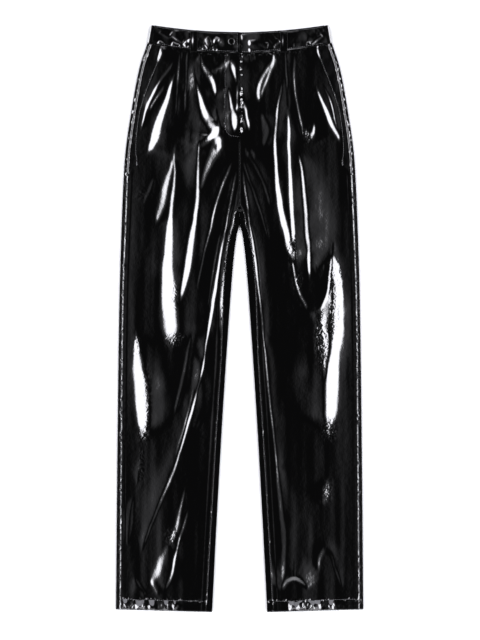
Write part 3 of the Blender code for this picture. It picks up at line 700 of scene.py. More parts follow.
def patent_leather(finish):
    """Lacquered leather: a nearly black, slightly rough leather under a clear glossy lacquer."""
    material, shader = new_material("black_patent_leather")
    if shader is None:
        return material
    tree = material.node_tree
    folds = bpy.context.scene.trouser_folds
    shader.inputs["Base Color"].default_value = linear(finish.patent)
    shader.inputs["Specular IOR Level"].default_value = 0.0
    shader.inputs["Coat Weight"].default_value = 1.0
    shader.inputs["Coat Roughness"].default_value = finish.lacquer_roughness
    shader.inputs["Coat IOR"].default_value = 1.5
    place = add_node(tree, "ShaderNodeTexCoord")

    def noise(size):
        return add_node(
            tree, "ShaderNodeTexNoise", {"Scale": 1 / size, "Detail": 1.0}, {"Vector": (place, "Object")})

    rough = add_node(
        tree, "ShaderNodeMapRange", {"To Min": 0.20, "To Max": 0.35}, {"Value": (noise(0.003), "Fac")})
    tree.links.new(rough.outputs["Result"], shader.inputs["Roughness"])
    # Heights in metres: facets of 11 and 5 mm where the lacquer is crushed, puckers of 6 mm beside the
    # sewing, and the lacquer's own waviness of 12, 5 and 2.5 mm.
    at_crush = add_node(tree, "ShaderNodeAttribute", {"attribute_name": "crushed"})
    at_sewing = add_node(tree, "ShaderNodeAttribute", {"attribute_name": "sewn"})
    coarse = add_math(tree, "ABSOLUTE", add_math(tree, "SUBTRACT", (noise(0.011), "Fac"), 0.5))
    small = add_math(tree, "ABSOLUTE", add_math(tree, "SUBTRACT", (noise(0.005), "Fac"), 0.5))
    facets = add_math(tree, "MULTIPLY_ADD", small, 0.4, coarse)
    crush_depth = add_math(tree, "MULTIPLY", (at_crush, "Fac"), folds.crinkle_depth)
    crush = add_math(tree, "MULTIPLY", facets, crush_depth)
    lumps = add_node(
        tree, "ShaderNodeMapRange",
        {"interpolation_type": "SMOOTHSTEP", "From Min": 0.50, "From Max": 0.72},
        {"Value": (noise(0.006), "Fac")})
    pucker_depth = add_math(tree, "MULTIPLY", (at_sewing, "Fac"), folds.pucker_depth)
    pucker = add_math(tree, "MULTIPLY", (lumps, "Result"), pucker_depth)
    height = add_math(tree, "ADD", crush, pucker)
    for size, depth in ((0.012, 0.00010), (0.005, 0.00005), (0.0025, 0.00002)):
        height = add_math(tree, "MULTIPLY_ADD", (noise(size), "Fac"), depth, height)
    bump = add_node(tree, "ShaderNodeBump", {"Strength": 1.0, "Distance": 1.0}, {"Height": height})
    tree.links.new(bump.outputs["Normal"], shader.inputs["Normal"])
    tree.links.new(bump.outputs["Normal"], shader.inputs["Coat Normal"])
    return material


def textured_cloth(name, colour, pattern, output, shades, strength, roughness):
    """A cloth whose pattern both shades its colour, between two shares, and raises its threads."""
    material, shader = new_material(name)
    if shader is None:
        return material
    tree = material.node_tree
    kind, fields = pattern
    threads = add_node(tree, kind, fields, {"Vector": (add_node(tree, "ShaderNodeTexCoord"), "Object")})
    shade = add_node(
        tree, "ShaderNodeMapRange", {"To Min": shades[0], "To Max": shades[1]}, {"Value": (threads, output)})
    tint = add_node(tree, "ShaderNodeVectorMath", {"operation": "SCALE"}, {"Scale": (shade, "Result")})
    tint.inputs[0].default_value = linear(colour)[:3]
    tree.links.new(tint.outputs["Vector"], shader.inputs["Base Color"])
    bump = add_node(
        tree, "ShaderNodeBump", {"Strength": strength, "Distance": 0.0002}, {"Height": (threads, output)})
    tree.links.new(bump.outputs["Normal"], shader.inputs["Normal"])
    shader.inputs["Roughness"].default_value = roughness
    return material


def knit_backing(finish):
    """The brushed knit that the lacquered face is laid on, seen inside the legs and the waist."""
    # 900 loops a metre, 1.1 mm apart.
    loops = "ShaderNodeTexVoronoi", {"Scale": 900.0}
    return textured_cloth("knit_backing", finish.backing, loops, "Distance", (0.7, 1.1), 0.6, 0.9)


def sewing_thread(finish):
    """Glazed polyester thread with a soft sheen."""
    material, shader = new_material("sewing_thread")
    if shader is None:
        return material
    tree = material.node_tree
    shader.inputs["Base Color"].default_value = linear(finish.thread)
    shader.inputs["Roughness"].default_value = 0.35
    place = add_node(tree, "ShaderNodeTexCoord")
    # A wave texture has a rib every pi / 10 / scale, here 0.35 mm, as far apart as the thread's plies.
    twist = add_node(tree, "ShaderNodeTexWave", {"Scale": 900.0}, {"Vector": (place, "Object")})
    bump = add_node(tree, "ShaderNodeBump", {"Strength": 0.5, "Distance": 0.0001}, {"Height": (twist, "Fac")})
    tree.links.new(bump.outputs["Normal"], shader.inputs["Normal"])
    return material


def woven_tape(finish):
    """The zip's woven polyester tape."""
    # A wave texture has a rib every pi / 10 / scale, here 0.6 mm, a little wavy.
    ribs = "ShaderNodeTexWave", {"Scale": 500.0, "Distortion": 2.0}
    return textured_cloth("woven_zip_tape", finish.tape, ribs, "Fac", (0.8, 1.2), 0.5, 0.75)


# ---------------------------------------------------------------- meshes
def select_only(thing):
    bpy.ops.object.select_all(action="DESELECT")
    thing.select_set(True)
    bpy.context.view_layer.objects.active = thing


def sheet_object(name, points, materials, wall, edge=0.0):
    """A sheet of cloth from a grid of points (row, column), its wall on the under side."""
    rows, columns = points.shape[:2]
    index = np.arange(rows * columns).reshape(rows, columns)
    quads = np.stack([index[:-1, :-1], index[:-1, 1:], index[1:, 1:], index[1:, :-1]], axis=-1).reshape(-1, 4)
    mesh = bpy.data.meshes.new(name)
    mesh.from_pydata(points.reshape(-1, 3).tolist(), [], quads.tolist())
    thing = bpy.data.objects.new(name, mesh)
    bpy.context.scene.collection.objects.link(thing)
    for material in materials:
        mesh.materials.append(material)
    select_only(thing)
    solid = thing.modifiers.new("wall", "SOLIDIFY")
    solid.thickness = wall
    solid.offset = -1.0
    solid.use_even_offset = False
    solid.material_offset = len(materials) - 1
    bpy.ops.object.modifier_apply(modifier="wall")
    if edge:
        bevel = thing.modifiers.new("edge", "BEVEL")
        bevel.width = edge
        bevel.segments = 1
        bevel.limit_method = "ANGLE"
        bevel.angle_limit = math.radians(50)
        bpy.ops.object.modifier_apply(modifier="edge")
    bpy.ops.object.shade_smooth_by_angle(angle=math.radians(42))
    return thing


def mark(thing):
    """Stores on each point how much the lacquer is crushed and how close the sewing is."""
    mesh = thing.data
    points = np.empty(3 * len(mesh.vertices))
    mesh.vertices.foreach_get("co", points)
    x, y = points[0::3], points[1::3]
    for name, values in (("crushed", crushed(x, y)), ("sewn", sewn(x, y))):
        mesh.attributes.new(name, "FLOAT", "POINT").data.foreach_set("value", values.astype(np.float32))


def place_piece(thing, node):
    """Puts a piece on the body, in place of its node if it has one."""
    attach(thing, "root")
    if node:
        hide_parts(node)


def spaced(start, end, count, gather=0.0):
    """Places from start to end, as many steps as count, gathered towards both ends by a share."""
    t = np.linspace(0, 1, count + 1)
    return mix(start, end, t + gather * np.sin(2 * math.pi * t) / (2 * math.pi) * -1)


def turned_hem(rows, hem_depth, wall):
    """Adds the turned-up hem to sheet rows that start at the hem: round the fold and back up inside."""
    radius = wall + 0.0001
    first, second = rows[0], rows[1]
    along = second - first
    along /= np.linalg.norm(along, axis=1, keepdims=True)
    across = np.gradient(first, axis=0)
    outward = np.cross(across, along)
    outward /= np.linalg.norm(outward, axis=1, keepdims=True)
    edge = rows[0].copy()
    turned = []
    for step in np.linspace(1.0, 0.0, 7)[:-1]:
        back = radius * (1 - math.sin(math.pi * step))
        down = radius * (1 - math.cos(math.pi * step))
        turned.append(edge + along * back - outward * down)
    inside = []
    for depth in np.linspace(hem_depth, 2 * radius, 8):
        inside.append(edge + along * depth - outward * 2 * radius)
    start = edge + along * radius
    rest = [row for row in rows[1:] if (np.sum((row - start) * along, axis=1) > 0.0005).all()]
    return np.array(inside + turned + [start] + rest)


def leg_stations(step):
    """Stations from the hem to the waist seam, about a step apart."""
    return np.linspace(HEM, WAIST_SEAM_Y - 0.0005, round((WAIST_SEAM_Y - HEM) / step) + 1)


def front_columns(station, gap):
    """Distances of the front's columns from the middle, close together at both seams."""
    inner = inseam(station) + gap / 2
    outer = front_side(station) - gap / 2
    strip = outline(station) - SIDE_STRIP
    edge = np.array([0, 0.0005, 0.0012, 0.0020])
    main = mix(inner + 0.0020, strip, np.linspace(0, 1, 115)[1:-1])
    last = mix(strip, outer - 0.0020, np.linspace(0, 1, 40))
    return np.concatenate([inner + edge, main, last, (outer - edge)[::-1][1:]])


def build_front(word, side, cloth, folds, finish):
    """A leg front: the creased sheet between the seams, with its hem turned up."""
    stations = leg_stations(FRONT_ROW)
    x = side * np.array([front_columns(station, cloth.seam_gap)[::side] for station in stations])
    at = np.broadcast_to(stations[:, None], x.shape)
    rows = np.stack([x, settled(x, at), top(x, at, folds)], axis=2)
    grid = turned_hem(rows, cloth.hem_depth, cloth.wall)
    materials = [patent_leather(finish), knit_backing(finish)]
    thing = sheet_object(f"front_{word}_leather", grid, materials, cloth.wall)
    mark(thing)
    place_piece(thing, f"front_{word}")


RETURN_STEPS = 6
UNDER_STEPS = 44
UNROLL = 0.016


# A pressed edge in section, from its top to its under side: how far out and how far up, as shares.
PRESSED = (
    (0.0, 1.0), (0.45, 1.0), (0.90, 1.0), (0.94, 0.91), (0.975, 0.70), (0.995, 0.35), (1.0, 0.0),
    (0.995, -0.35), (0.975, -0.70), (0.94, -0.91), (0.90, -1.0), (0.45, -1.0), (0.0, -1.0))


def back_section(station):
    """(x, height) from the side seam, round the outer roll, under the leg and round the inner roll."""
    low = float(base(station))
    half_loft = 0.5 * EDGE_LOFT
    out, inn = float(outer_reach(station)), float(inner_reach(station))
    edge_out, edge_in = float(outline(station)), float(INNER_EDGE(station))
    start = edge_out - out
    returned = np.linspace(float(side_seam(station)) + 0.00015, start, RETURN_STEPS + 1)[:-1]
    points = [(x, low + EDGE_LOFT) for x in returned]
    points += [(edge_out - out * (1 - across), low + half_loft * (1 + up)) for across, up in PRESSED]
    opened = float(ease((station - FORK_TOP) / 0.010))
    covered = float(ease((station - 0.197) / 0.007)) * 0.0015
    end = edge_in + inn
    under = np.linspace(start, mix(end, UNROLL, opened), UNDER_STEPS + 1)[1:-1]
    points += [(x, low + under_height(x, station)) for x in under]
    hooked = [(edge_in + inn * (1 - across), low + half_loft * (1 - up)) for across, up in PRESSED]
    last = max(float(inseam(station)) - 0.00015, end + 0.0006)
    hooked += [(x, low + EDGE_LOFT) for x in np.linspace(end, last, RETURN_STEPS + 1)[1:]]
    hooked = [(x, height - covered * (height > low + half_loft)) for x, height in hooked]
    loose = np.linspace(UNROLL, 0.00015, len(hooked))
    hooked = [(mix(x, flat, opened), mix(height, low, opened)) for (x, height), flat in zip(hooked, loose)]
    return np.array(points + hooked)


def under_height(x, station):
    """The back lies on the surface, with a few shallow hollows where it has creased off it."""
    hollow = 0.0012 * ease((ripple(np.array(x), np.array(0.35 * station), 0.040, 9) - 0.25) / 0.5)
    return float(hollow * ease((x - 0.030) / 0.02) * ease((float(outline(station)) - x - 0.02) / 0.02))


def build_back(word, side, cloth, finish):
    """A leg back: one sheet under the leg that rolls up round both its edges, with its hem turned up."""
    rows = []
    for station in leg_stations(BACK_ROW):
        section = back_section(station)
        x = side * section[:, 0]
        height = section[:, 1]
        if side < 0:
            x, height = x[::-1], height[::-1]
        rows.append(np.stack([x, settled(x, np.full(x.shape, station)), height], axis=1))
    grid = turned_hem(np.array(rows), cloth.hem_depth, cloth.wall)
    materials = [patent_leather(finish), knit_backing(finish)]
    thing = sheet_object(f"back_{word}_leather", grid, materials, cloth.wall)
    mark(thing)
    place_piece(thing, f"back_{word}")


FACING_CLIMB = 0.0025    # the width over which the facing climbs to the side seam, and its steps
FACING_TURN = np.array([0.8, 0.6, 0.4, 0.2, 0.0])


def build_pocket_facing(word, side, cloth, finish):
    """What shows between the pocket mouth and the side seam. It dips under the front along the mouth."""
    rows = []
    for station in np.linspace(POCKET_END - 0.022, WAIST_SEAM_Y - 0.0005, 80):
        mouth = float(front_side(station))
        outer = float(side_seam(station)) - cloth.seam_gap / 2
        flat = np.linspace(mouth - 0.008, outer - FACING_CLIMB, 17)
        across = np.concatenate([flat, outer - FACING_CLIMB * FACING_TURN])
        dip = 1 - ease((across - outer + FACING_CLIMB) / FACING_CLIMB)
        if side < 0:
            across, dip = across[::-1], dip[::-1]
        x = side * across
        at = np.full(x.shape, station)
        height = skin(x, at) - dip * (cloth.wall + 0.0003) + 0.0001 * ripple(x, at, 0.012, 60)
        rows.append(np.stack([x, settled(x, at), height], axis=1))
    materials = [patent_leather(finish), knit_backing(finish)]
    thing = sheet_object(f"pocket_facing_{word}_leather", np.array(rows), materials, cloth.wall)
    mark(thing)
    place_piece(thing, f"pocket_facing_{word}")


def band_half(v):
    """Half the waistband's width, from its seam (0) to its top edge (1)."""
    return OUTLINE(mix(0.5105, 0.543, v))


def band_wave(x, v):
    """The waistband buckles a little between its stitches."""
    wave = 0.0007 * ripple(x, 0.05 * v, 0.030, 3) + 0.0005 * ripple(x, 0.03 * v, 0.013, 4)
    sewn = np.exp(-(((v - 0.08) / 0.05) ** 2)) + np.exp(-(((v - 0.93) / 0.05) ** 2))
    return wave * np.sin(math.pi * np.clip(v, 0, 1)) ** 0.5 - 0.00018 * sewn


def band_point(x, v, height, folds):
    """Points on the waistband, from its seam (v = 0) to its top edge (1), with its creases and buckles."""
    y = mix(waist_seam(x) + 0.0003, waist_top(x), v)
    inside = ease(v / 0.10) * ease((1 - v) / 0.08)
    lumps = inside * crease_height(x, y, folds, BAND_CREASES)
    return np.stack([x, y, height + band_wave(x, v) + lumps], axis=1)


def build_band_front(word, side, cloth, folds, finish):
    """A front half of the waistband. The left one dips to run under the right one."""
    rows = []
    for v in spaced(0, 1, 36, 0.3):
        outer = float(band_half(v)) - BAND_SEAM_IN - cloth.seam_gap / 2
        if side > 0:
            x = spaced(-0.030, outer, 180)
            step = 1 - ease((x - 0.001) / BAND_OVERLAP)
        else:
            x = spaced(-outer, 0.0, 150)
            step = np.zeros(x.shape)
        at = np.full(x.shape, v)
        rows.append(band_point(x, at, BAND_TOP - step * (cloth.band_wall + 0.0008), folds))
    materials = [patent_leather(finish)]
    thing = sheet_object(f"waistband_{word}_leather", np.array(rows), materials, cloth.band_wall, EDGE_BEVEL)
    place_piece(thing, f"waistband_{word}")


def build_band_back(cloth, finish):
    """The back of the waistband, pressed round at both ends up to its side seams."""
    loft = BAND_TOP - WAIST_LIFT
    reach = BAND_SEAM_IN - 0.0015
    rows = []
    for v in spaced(0, 1, 20, 0.5):
        half = float(band_half(v))
        left = [(-half + BAND_SEAM_IN - 0.0002, loft)]
        left += [(-half + reach * (1 - across), 0.5 * loft * (1 + up)) for across, up in PRESSED]
        flat = [(x, 0.0) for x in np.linspace(-half + reach, half - reach, 91)[1:-1]]
        right = [(-x, height) for x, height in reversed(left)]
        section = np.array(left + flat + right)[::-1]
        x = section[:, 0]
        low = waist_seam(x) + 0.0003
        y = mix(low, waist_top(x), v * 0.985)
        rows.append(np.stack([x, y, WAIST_LIFT + section[:, 1]], axis=1))
    materials = [patent_leather(finish)]
    thing = sheet_object("waistband_back_leather", np.array(rows), materials, cloth.band_wall, EDGE_BEVEL)
    place_piece(thing, "waistband_back")


def build_loop(name, centre, front, finish):
    """A belt loop: the front ones arch over the waistband, the back ones are pressed flat under it."""
    rows = []
    for v in np.linspace(0, 1, 30):
        offsets = np.linspace(-LOOP_HALF_WIDTH, LOOP_HALF_WIDTH, 13)
        x = centre + (offsets if front else offsets[::-1])
        low = waist_seam(np.array(centre)) - (0.002 if front else -0.0008)
        y = np.full(x.shape, mix(low, waist_top(centre) - 0.0005, v))
        if front:
            over = BAND_TOP + 0.0022 + 0.0010 * math.sin(math.pi * v) ** 0.6
            dent = np.exp(-(((v - 0.5) / 0.26) ** 2)) * ease((offsets + 0.0045) / 0.0045)
            height = over + 0.00050 * dent + 0.0001 * ripple(x, y, 0.010, 70)
        else:
            height = np.zeros(x.shape)
        rows.append(np.stack([x, y, height], axis=1))
    materials = [patent_leather(finish)]
    thing = sheet_object(f"{name}_leather", np.array(rows), materials, LOOP_WALL, EDGE_BEVEL)
    place_piece(thing, name)


# ---------------------------------------------------------------- stitching
def one_stitch(length, width):
    """A stitch as a short rounded bead, modelled once: its points and faces."""
    bpy.ops.object.select_all(action="DESELECT")
    bpy.ops.mesh.primitive_uv_sphere_add(segments=6, ring_count=5, radius=0.5)
    bead = bpy.context.object
    bpy.ops.object.mode_set(mode="EDIT")
    bpy.ops.mesh.select_all(action="SELECT")
    bpy.ops.transform.rotate(value=math.pi / 2, orient_axis="Y", center_override=(0, 0, 0))
    bpy.ops.transform.resize(value=(length, width, width), center_override=(0, 0, 0))
    bpy.ops.object.mode_set(mode="OBJECT")
    points = np.array([vertex.co[:] for vertex in bead.data.vertices])
    faces = [tuple(face.vertices) for face in bead.data.polygons]
    mesh = bead.data
    bpy.data.objects.remove(bead)
    bpy.data.meshes.remove(mesh)
    return points, faces


def stitch_places(line, pitch):
    """Middle points and directions of the stitches along a line of 3-D points."""
    line = np.array(line, float)
    lengths = np.concatenate(([0], np.cumsum(np.linalg.norm(np.diff(line, axis=0), axis=1))))
    count = max(1, round(lengths[-1] / pitch))
    middle = (np.arange(count) + 0.5) * lengths[-1] / count
    at = np.stack([np.interp(middle, lengths, line[:, axis]) for axis in range(3)], axis=1)
    ahead = np.stack([np.interp(middle + 0.0005, lengths, line[:, axis]) for axis in range(3)], axis=1)
    behind = np.stack([np.interp(middle - 0.0005, lengths, line[:, axis]) for axis in range(3)], axis=1)
    run = ahead - behind
    return at, run / np.linalg.norm(run, axis=1, keepdims=True)


def front_line(plan, folds, lift=0.0002):
    """Lays (x, station) points on the fronts."""
    plan = np.array(plan, float)
    height = top(plan[:, 0], plan[:, 1], folds)
    return np.stack([plan[:, 0], settled(plan[:, 0], plan[:, 1]), height + lift], axis=1)


def stitch_lines(cloth, folds):
    """Every line of stitching, as lists of points."""
    lines = []
    for side in (-1, 1):
        stations = np.linspace(HEM + cloth.hem_depth, WAIST_SEAM_Y - 0.004, 500)
        x = side * side_seam(stations)
        lines.append(np.stack([x, settled(x, stations), skin(x, stations) + 0.0001], axis=1))
        low = stations[stations < 0.180]
        x = side * inseam(low)
        lines.append(np.stack([x, settled(x, low), skin(x, low) + 0.0001], axis=1))
        mouth = np.linspace(POCKET_END + 0.004, WAIST_SEAM_Y - 0.003, 160)
        edge = side * (POCKET_MOUTH(mouth) - MOUTH_STITCH_IN)
        lines.append(front_line(np.stack([edge, mouth], axis=1), folds))
        hem = np.linspace(HEM_INNER + HEM_STITCH_IN[0], HALF_WIDTH - HEM_STITCH_IN[1], 120)
        at = np.full(hem.shape, HEM + cloth.hem_depth)
        lines.append(front_line(np.stack([side * hem, at], axis=1), folds))
    down = np.linspace(WAIST_SEAM_Y - 0.003, FLY_END + 0.020, 90)
    j_line = [(-FLY_WIDTH + FLY_STITCH_IN, station) for station in down]
    for turn in np.linspace(0, math.pi / 2, 16)[1:]:
        j_line.append((-0.0105 - 0.0163 * math.cos(turn), FLY_END + 0.020 - 0.018 * math.sin(turn)))
    j_line.append((-0.0015, FLY_END + 0.0010))
    lines.append(front_line(j_line, folds))
    return lines


def band_lines(cloth, folds):
    """The waistband's stitching: near both its edges, and down the end of the right half."""
    lines = []
    for v in (0.08, 0.93):
        for start, end in ((-0.154, -0.003), (0.004, 0.154)):
            x = np.linspace(start, end, 160)
            at = np.full(x.shape, v)
            step = np.where(x > 0, 1 - ease((x - 0.001) / BAND_OVERLAP), 0.0)
            lines.append(band_point(x, at, BAND_TOP + 0.0002 - step * (cloth.band_wall + 0.0008), folds))
    v = np.linspace(0.08, 0.93, 40)
    lines.append(band_point(np.full(v.shape, -0.0045), v, np.full(v.shape, BAND_TOP + 0.0002), folds))
    return lines


def bar_tack(x, y, height, across, count=9):
    """Close stitches side by side, as at a pocket's end."""
    tacks = []
    for i in range(count):
        shift = (i / (count - 1) - 0.5) * across
        tacks.append([(x - 0.0012, y + shift, height), (x + 0.0012, y + shift, height)])
    return tacks


def build_stitching(cloth, folds, finish):
    points, faces = one_stitch(0.78 * cloth.stitch_pitch, cloth.thread_width)
    all_points, all_faces, start = [], [], 0
    lines = stitch_lines(cloth, folds) + band_lines(cloth, folds)
    for side in (-1, 1):
        x = side * float(POCKET_MOUTH(POCKET_END))
        height = float(top(np.array([x - side * 0.001]), np.array([POCKET_END]), folds)[0]) + 0.0003
        lines += bar_tack(x - side * 0.001, POCKET_END - 0.001, height, 0.006)
    for line in lines:
        at, run = stitch_places(line, cloth.stitch_pitch)
        for place, ahead in zip(at, run):
            beside = np.cross((0, 0, 1), ahead)
            beside /= np.linalg.norm(beside)
            turn = np.stack([ahead, beside, np.cross(ahead, beside)])
            all_points.append(points @ turn + place)
            all_faces += [tuple(i + start for i in face) for face in faces]
            start += len(points)
    mesh = bpy.data.meshes.new("stitching")
    mesh.from_pydata(np.concatenate(all_points).tolist(), [], all_faces)
    thing = bpy.data.objects.new("stitching", mesh)
    bpy.context.scene.collection.objects.link(thing)
    mesh.materials.append(sewing_thread(finish))
    mesh.shade_smooth()
    place_piece(thing, None)


# ---------------------------------------------------------------- button
def build_button(finish):
    """A flat metal shell covered in the same leather: a shallow dome over a rolled rim."""
    low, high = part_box("button")
    radius = (high.x - low.x) / 2
    bpy.ops.object.select_all(action="DESELECT")
    middle = low.z + BUTTON_DEPTH / 2
    bpy.ops.mesh.primitive_cylinder_add(
        vertices=48, radius=radius * 0.93, depth=BUTTON_DEPTH, location=(*BUTTON_AT, middle))
    button = bpy.context.object
    button.name = "button_covered"
    bpy.ops.object.transform_apply(location=True, rotation=True, scale=True)
    bpy.ops.object.mode_set(mode="EDIT")
    bpy.ops.mesh.select_all(action="SELECT")
    bpy.ops.mesh.bevel(offset=0.0006, segments=4, affect="EDGES", clamp_overlap=True)
    bpy.ops.mesh.select_all(action="DESELECT")
    bpy.ops.object.mode_set(mode="OBJECT")
    caps = [face for face in button.data.polygons if face.normal.z > 0.99 and len(face.vertices) > 20]
    for face in caps:
        face.select = True
    bpy.ops.object.mode_set(mode="EDIT")
    for share, rise in ((0.20, 0.00007), (0.30, 0.00006), (0.50, 0.00003)):
        bpy.ops.mesh.inset(thickness=share * radius * 0.8)
        bpy.ops.transform.translate(value=(0, 0, rise))
    bpy.ops.object.mode_set(mode="OBJECT")
    bpy.ops.object.shade_smooth_by_angle(angle=math.radians(50))
    button.data.materials.append(patent_leather(finish))
    place_piece(button, "button")


# ---------------------------------------------------------------- studio
def build_floor(studio):
    bpy.ops.object.select_all(action="DESELECT")
    bpy.ops.mesh.primitive_plane_add(size=30.0, location=(0, 0, -0.0002))
    floor = bpy.context.object
    floor.name = "floor"
    material, shader = new_material("studio_floor")
    shader.inputs["Base Color"].default_value = linear(studio.floor)
    shader.inputs["Roughness"].default_value = 1.0
    shader.inputs["Specular IOR Level"].default_value = 0.0
    floor.data.materials.append(material)


def build_room(studio):
    """A dark ceiling with a long softbox on each side, a dimmer box past each end and a pale room below."""
    world = bpy.data.worlds.new("studio_room")
    bpy.context.scene.world = world
    world.use_nodes = True
    tree = world.node_tree
    place = add_node(tree, "ShaderNodeTexCoord")
    split = add_node(tree, "ShaderNodeSeparateXYZ", {}, {"Vector": (place, "Generated")})

    def between(value, low, high):
        node = add_node(tree, "ShaderNodeMapRange", {
            "interpolation_type": "SMOOTHSTEP", "From Min": low, "From Max": high})
        tree.links.new(value[0].outputs[value[1]], node.inputs["Value"])
        return node, "Result"

    across = add_math(tree, "ABSOLUTE", (split, "X"))
    along = add_math(tree, "ABSOLUTE", (split, "Y"))
    inner = add_math(tree, "POWER", between(across, 0.19, 0.34), 1.3)
    outer = add_math(tree, "SUBTRACT", 1.0, between(across, 0.60, 0.72))
    ends = add_math(tree, "SUBTRACT", 1.0, between(along, 0.45, 0.70))
    overhead = between((split, "Z"), 0.50, 0.66)
    strip = add_math(tree, "MULTIPLY", inner, outer)
    box = add_math(tree, "MULTIPLY", strip, add_math(tree, "MULTIPLY", ends, overhead))
    # Dimmer boxes past the waist and the hems light the creases that run across.
    near_end = add_math(tree, "MULTIPLY", between(along, 0.36, 0.52), between(across, 0.50, 0.25))
    past_end = add_math(tree, "SUBTRACT", 1.0, between(along, 0.70, 0.80))
    near_end = add_math(tree, "MULTIPLY", near_end, past_end)
    low = add_math(tree, "SUBTRACT", 1.0, between((split, "Z"), 0.15, 0.60))
    glow = add_math(tree, "MULTIPLY", add_math(tree, "MULTIPLY", between(across, 0.03, 0.24), 0.90), overhead)
    room = add_math(tree, "MULTIPLY_ADD", low, studio.room, add_math(tree, "ADD", glow, 0.010))
    dim = add_math(tree, "MULTIPLY_ADD", near_end, studio.end_box, room)
    light = add_math(tree, "MULTIPLY_ADD", box, studio.softbox, dim)
    shade = tree.nodes["Background"]
    shade.inputs["Color"].default_value = linear("#F9F9FF")
    tree.links.new(light[0].outputs[light[1]], shade.inputs["Strength"])


def build_camera(studio):
    data = bpy.data.cameras.new("camera")
    data.lens = studio.lens
    camera = bpy.data.objects.new("camera", data)
    bpy.context.scene.collection.objects.link(camera)
    away = SHOWN_HEIGHT * studio.lens / data.sensor_width
    camera.location = (0.0007, -0.0023, away + EDGE_LOFT)
    bpy.context.scene.camera = camera


# ---------------------------------------------------------------- operators
def settings():
    scene = bpy.context.scene
    return scene.trouser_cloth, scene.trouser_folds, scene.trouser_finish, scene.trouser_studio


SIDES = (("right", -1), ("left", 1))


class TROUSERS_OT_leg_fronts(bpy.types.Operator):
    """Adds the two leg fronts with their pleats, creases and turned-up hems"""
    bl_idname = "trousers.leg_fronts"
    bl_label = "Leg Fronts"

    def execute(self, context):
        cloth, folds, finish, _ = settings()
        for word, side in SIDES:
            build_front(word, side, cloth, folds, finish)
        return {"FINISHED"}


class TROUSERS_OT_leg_backs(bpy.types.Operator):
    """Adds the two leg backs, which roll round the edges of the legs to the front"""
    bl_idname = "trousers.leg_backs"
    bl_label = "Leg Backs"

    def execute(self, context):
        cloth, _, finish, _ = settings()
        for word, side in SIDES:
            build_back(word, side, cloth, finish)
        return {"FINISHED"}


class TROUSERS_OT_pocket_facings(bpy.types.Operator):
    """Adds the facings that show inside the slanted pocket mouths"""
    bl_idname = "trousers.pocket_facings"
    bl_label = "Pocket Facings"

    def execute(self, context):
        cloth, _, finish, _ = settings()
        for word, side in SIDES:
            build_pocket_facing(word, side, cloth, finish)
        return {"FINISHED"}


class TROUSERS_OT_waistband(bpy.types.Operator):
    """Adds the waistband: two front halves that lap, and the back"""
    bl_idname = "trousers.waistband"
    bl_label = "Waistband"

    def execute(self, context):
        cloth, folds, finish, _ = settings()
        for word, side in SIDES:
            build_band_front(word, side, cloth, folds, finish)
        build_band_back(cloth, finish)
        return {"FINISHED"}


class TROUSERS_OT_belt_loops(bpy.types.Operator):
    """Adds the belt loops, two in front and three behind"""
    bl_idname = "trousers.belt_loops"
    bl_label = "Belt Loops"

    def execute(self, context):
        _, _, finish, _ = settings()
        for name, centre in FRONT_LOOPS:
            build_loop(name, centre, True, finish)
        for name, centre in BACK_LOOPS:
            build_loop(name, centre, False, finish)
        return {"FINISHED"}


class TROUSERS_OT_fastenings(bpy.types.Operator):
    """Adds the covered button and gives the hidden zip its woven tape"""
    bl_idname = "trousers.fastenings"
    bl_label = "Button and Zip"

    def execute(self, context):
        _, _, finish, _ = settings()
        build_button(finish)
        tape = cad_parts["fly_zip"]
        tape.data.materials.clear()
        tape.data.materials.append(woven_tape(finish))
        return {"FINISHED"}


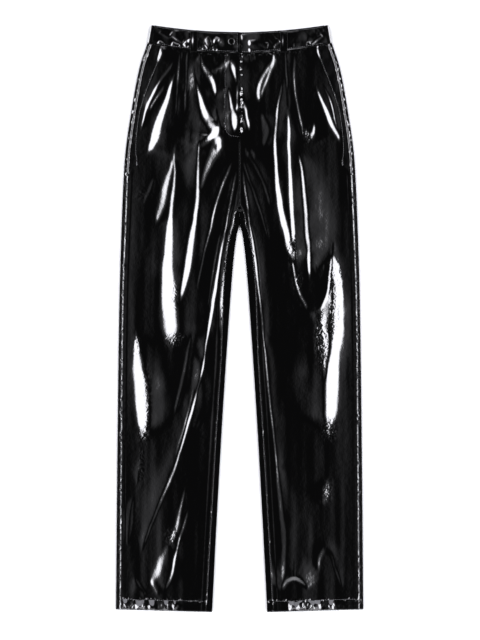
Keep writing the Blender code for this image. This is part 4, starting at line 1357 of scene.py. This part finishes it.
class TROUSERS_OT_stitching(bpy.types.Operator):
    """Adds the stitches along the seams, pocket mouths, fly, waistband and hems"""
    bl_idname = "trousers.stitching"
    bl_label = "Stitching"

    def execute(self, context):
        cloth, folds, finish, _ = settings()
        build_stitching(cloth, folds, finish)
        return {"FINISHED"}


class TROUSERS_OT_stage(bpy.types.Operator):
    """Adds the floor, the softboxes, the dim room and the camera"""
    bl_idname = "trousers.stage"
    bl_label = "Studio Stage"

    def execute(self, context):
        _, _, _, studio = settings()
        build_floor(studio)
        build_room(studio)
        build_camera(studio)
        view = bpy.context.scene.view_settings
        view.view_transform = "Standard"
        return {"FINISHED"}


OPERATORS = (
    TROUSERS_OT_stage, TROUSERS_OT_leg_backs, TROUSERS_OT_leg_fronts, TROUSERS_OT_pocket_facings,
    TROUSERS_OT_waistband, TROUSERS_OT_belt_loops, TROUSERS_OT_fastenings, TROUSERS_OT_stitching)


class TROUSERS_PT_sidebar(bpy.types.Panel):
    """Lists the steps and the sizes they use"""
    bl_label = "Trousers"
    bl_idname = "TROUSERS_PT_sidebar"
    bl_space_type = "VIEW_3D"
    bl_region_type = "UI"
    bl_category = "Trousers"

    def draw(self, context):
        for operator in OPERATORS:
            self.layout.operator(operator.bl_idname)
        for group in ("trouser_cloth", "trouser_folds", "trouser_finish", "trouser_studio"):
            values = getattr(context.scene, group)
            box = self.layout.box()
            for name in values.bl_rna.properties.keys():
                if name not in ("rna_type", "name"):
                    box.prop(values, name)


GROUPS = (
    ("trouser_cloth", TrouserCloth), ("trouser_folds", TrouserFolds),
    ("trouser_finish", TrouserFinish), ("trouser_studio", TrouserStudio))


def register():
    for name, group in GROUPS:
        bpy.utils.register_class(group)
        setattr(bpy.types.Scene, name, bpy.props.PointerProperty(type=group))
    for thing in (*OPERATORS, TROUSERS_PT_sidebar):
        bpy.utils.register_class(thing)


def unregister():
    for thing in (TROUSERS_PT_sidebar, *reversed(OPERATORS)):
        bpy.utils.unregister_class(thing)
    for name, group in reversed(GROUPS):
        delattr(bpy.types.Scene, name)
        bpy.utils.unregister_class(group)


def main():
    register()
    for operator in OPERATORS:
        group, name = operator.bl_idname.split(".")
        getattr(getattr(bpy.ops, group), name)()
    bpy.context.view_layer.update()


if __name__ == "__main__":
    main()
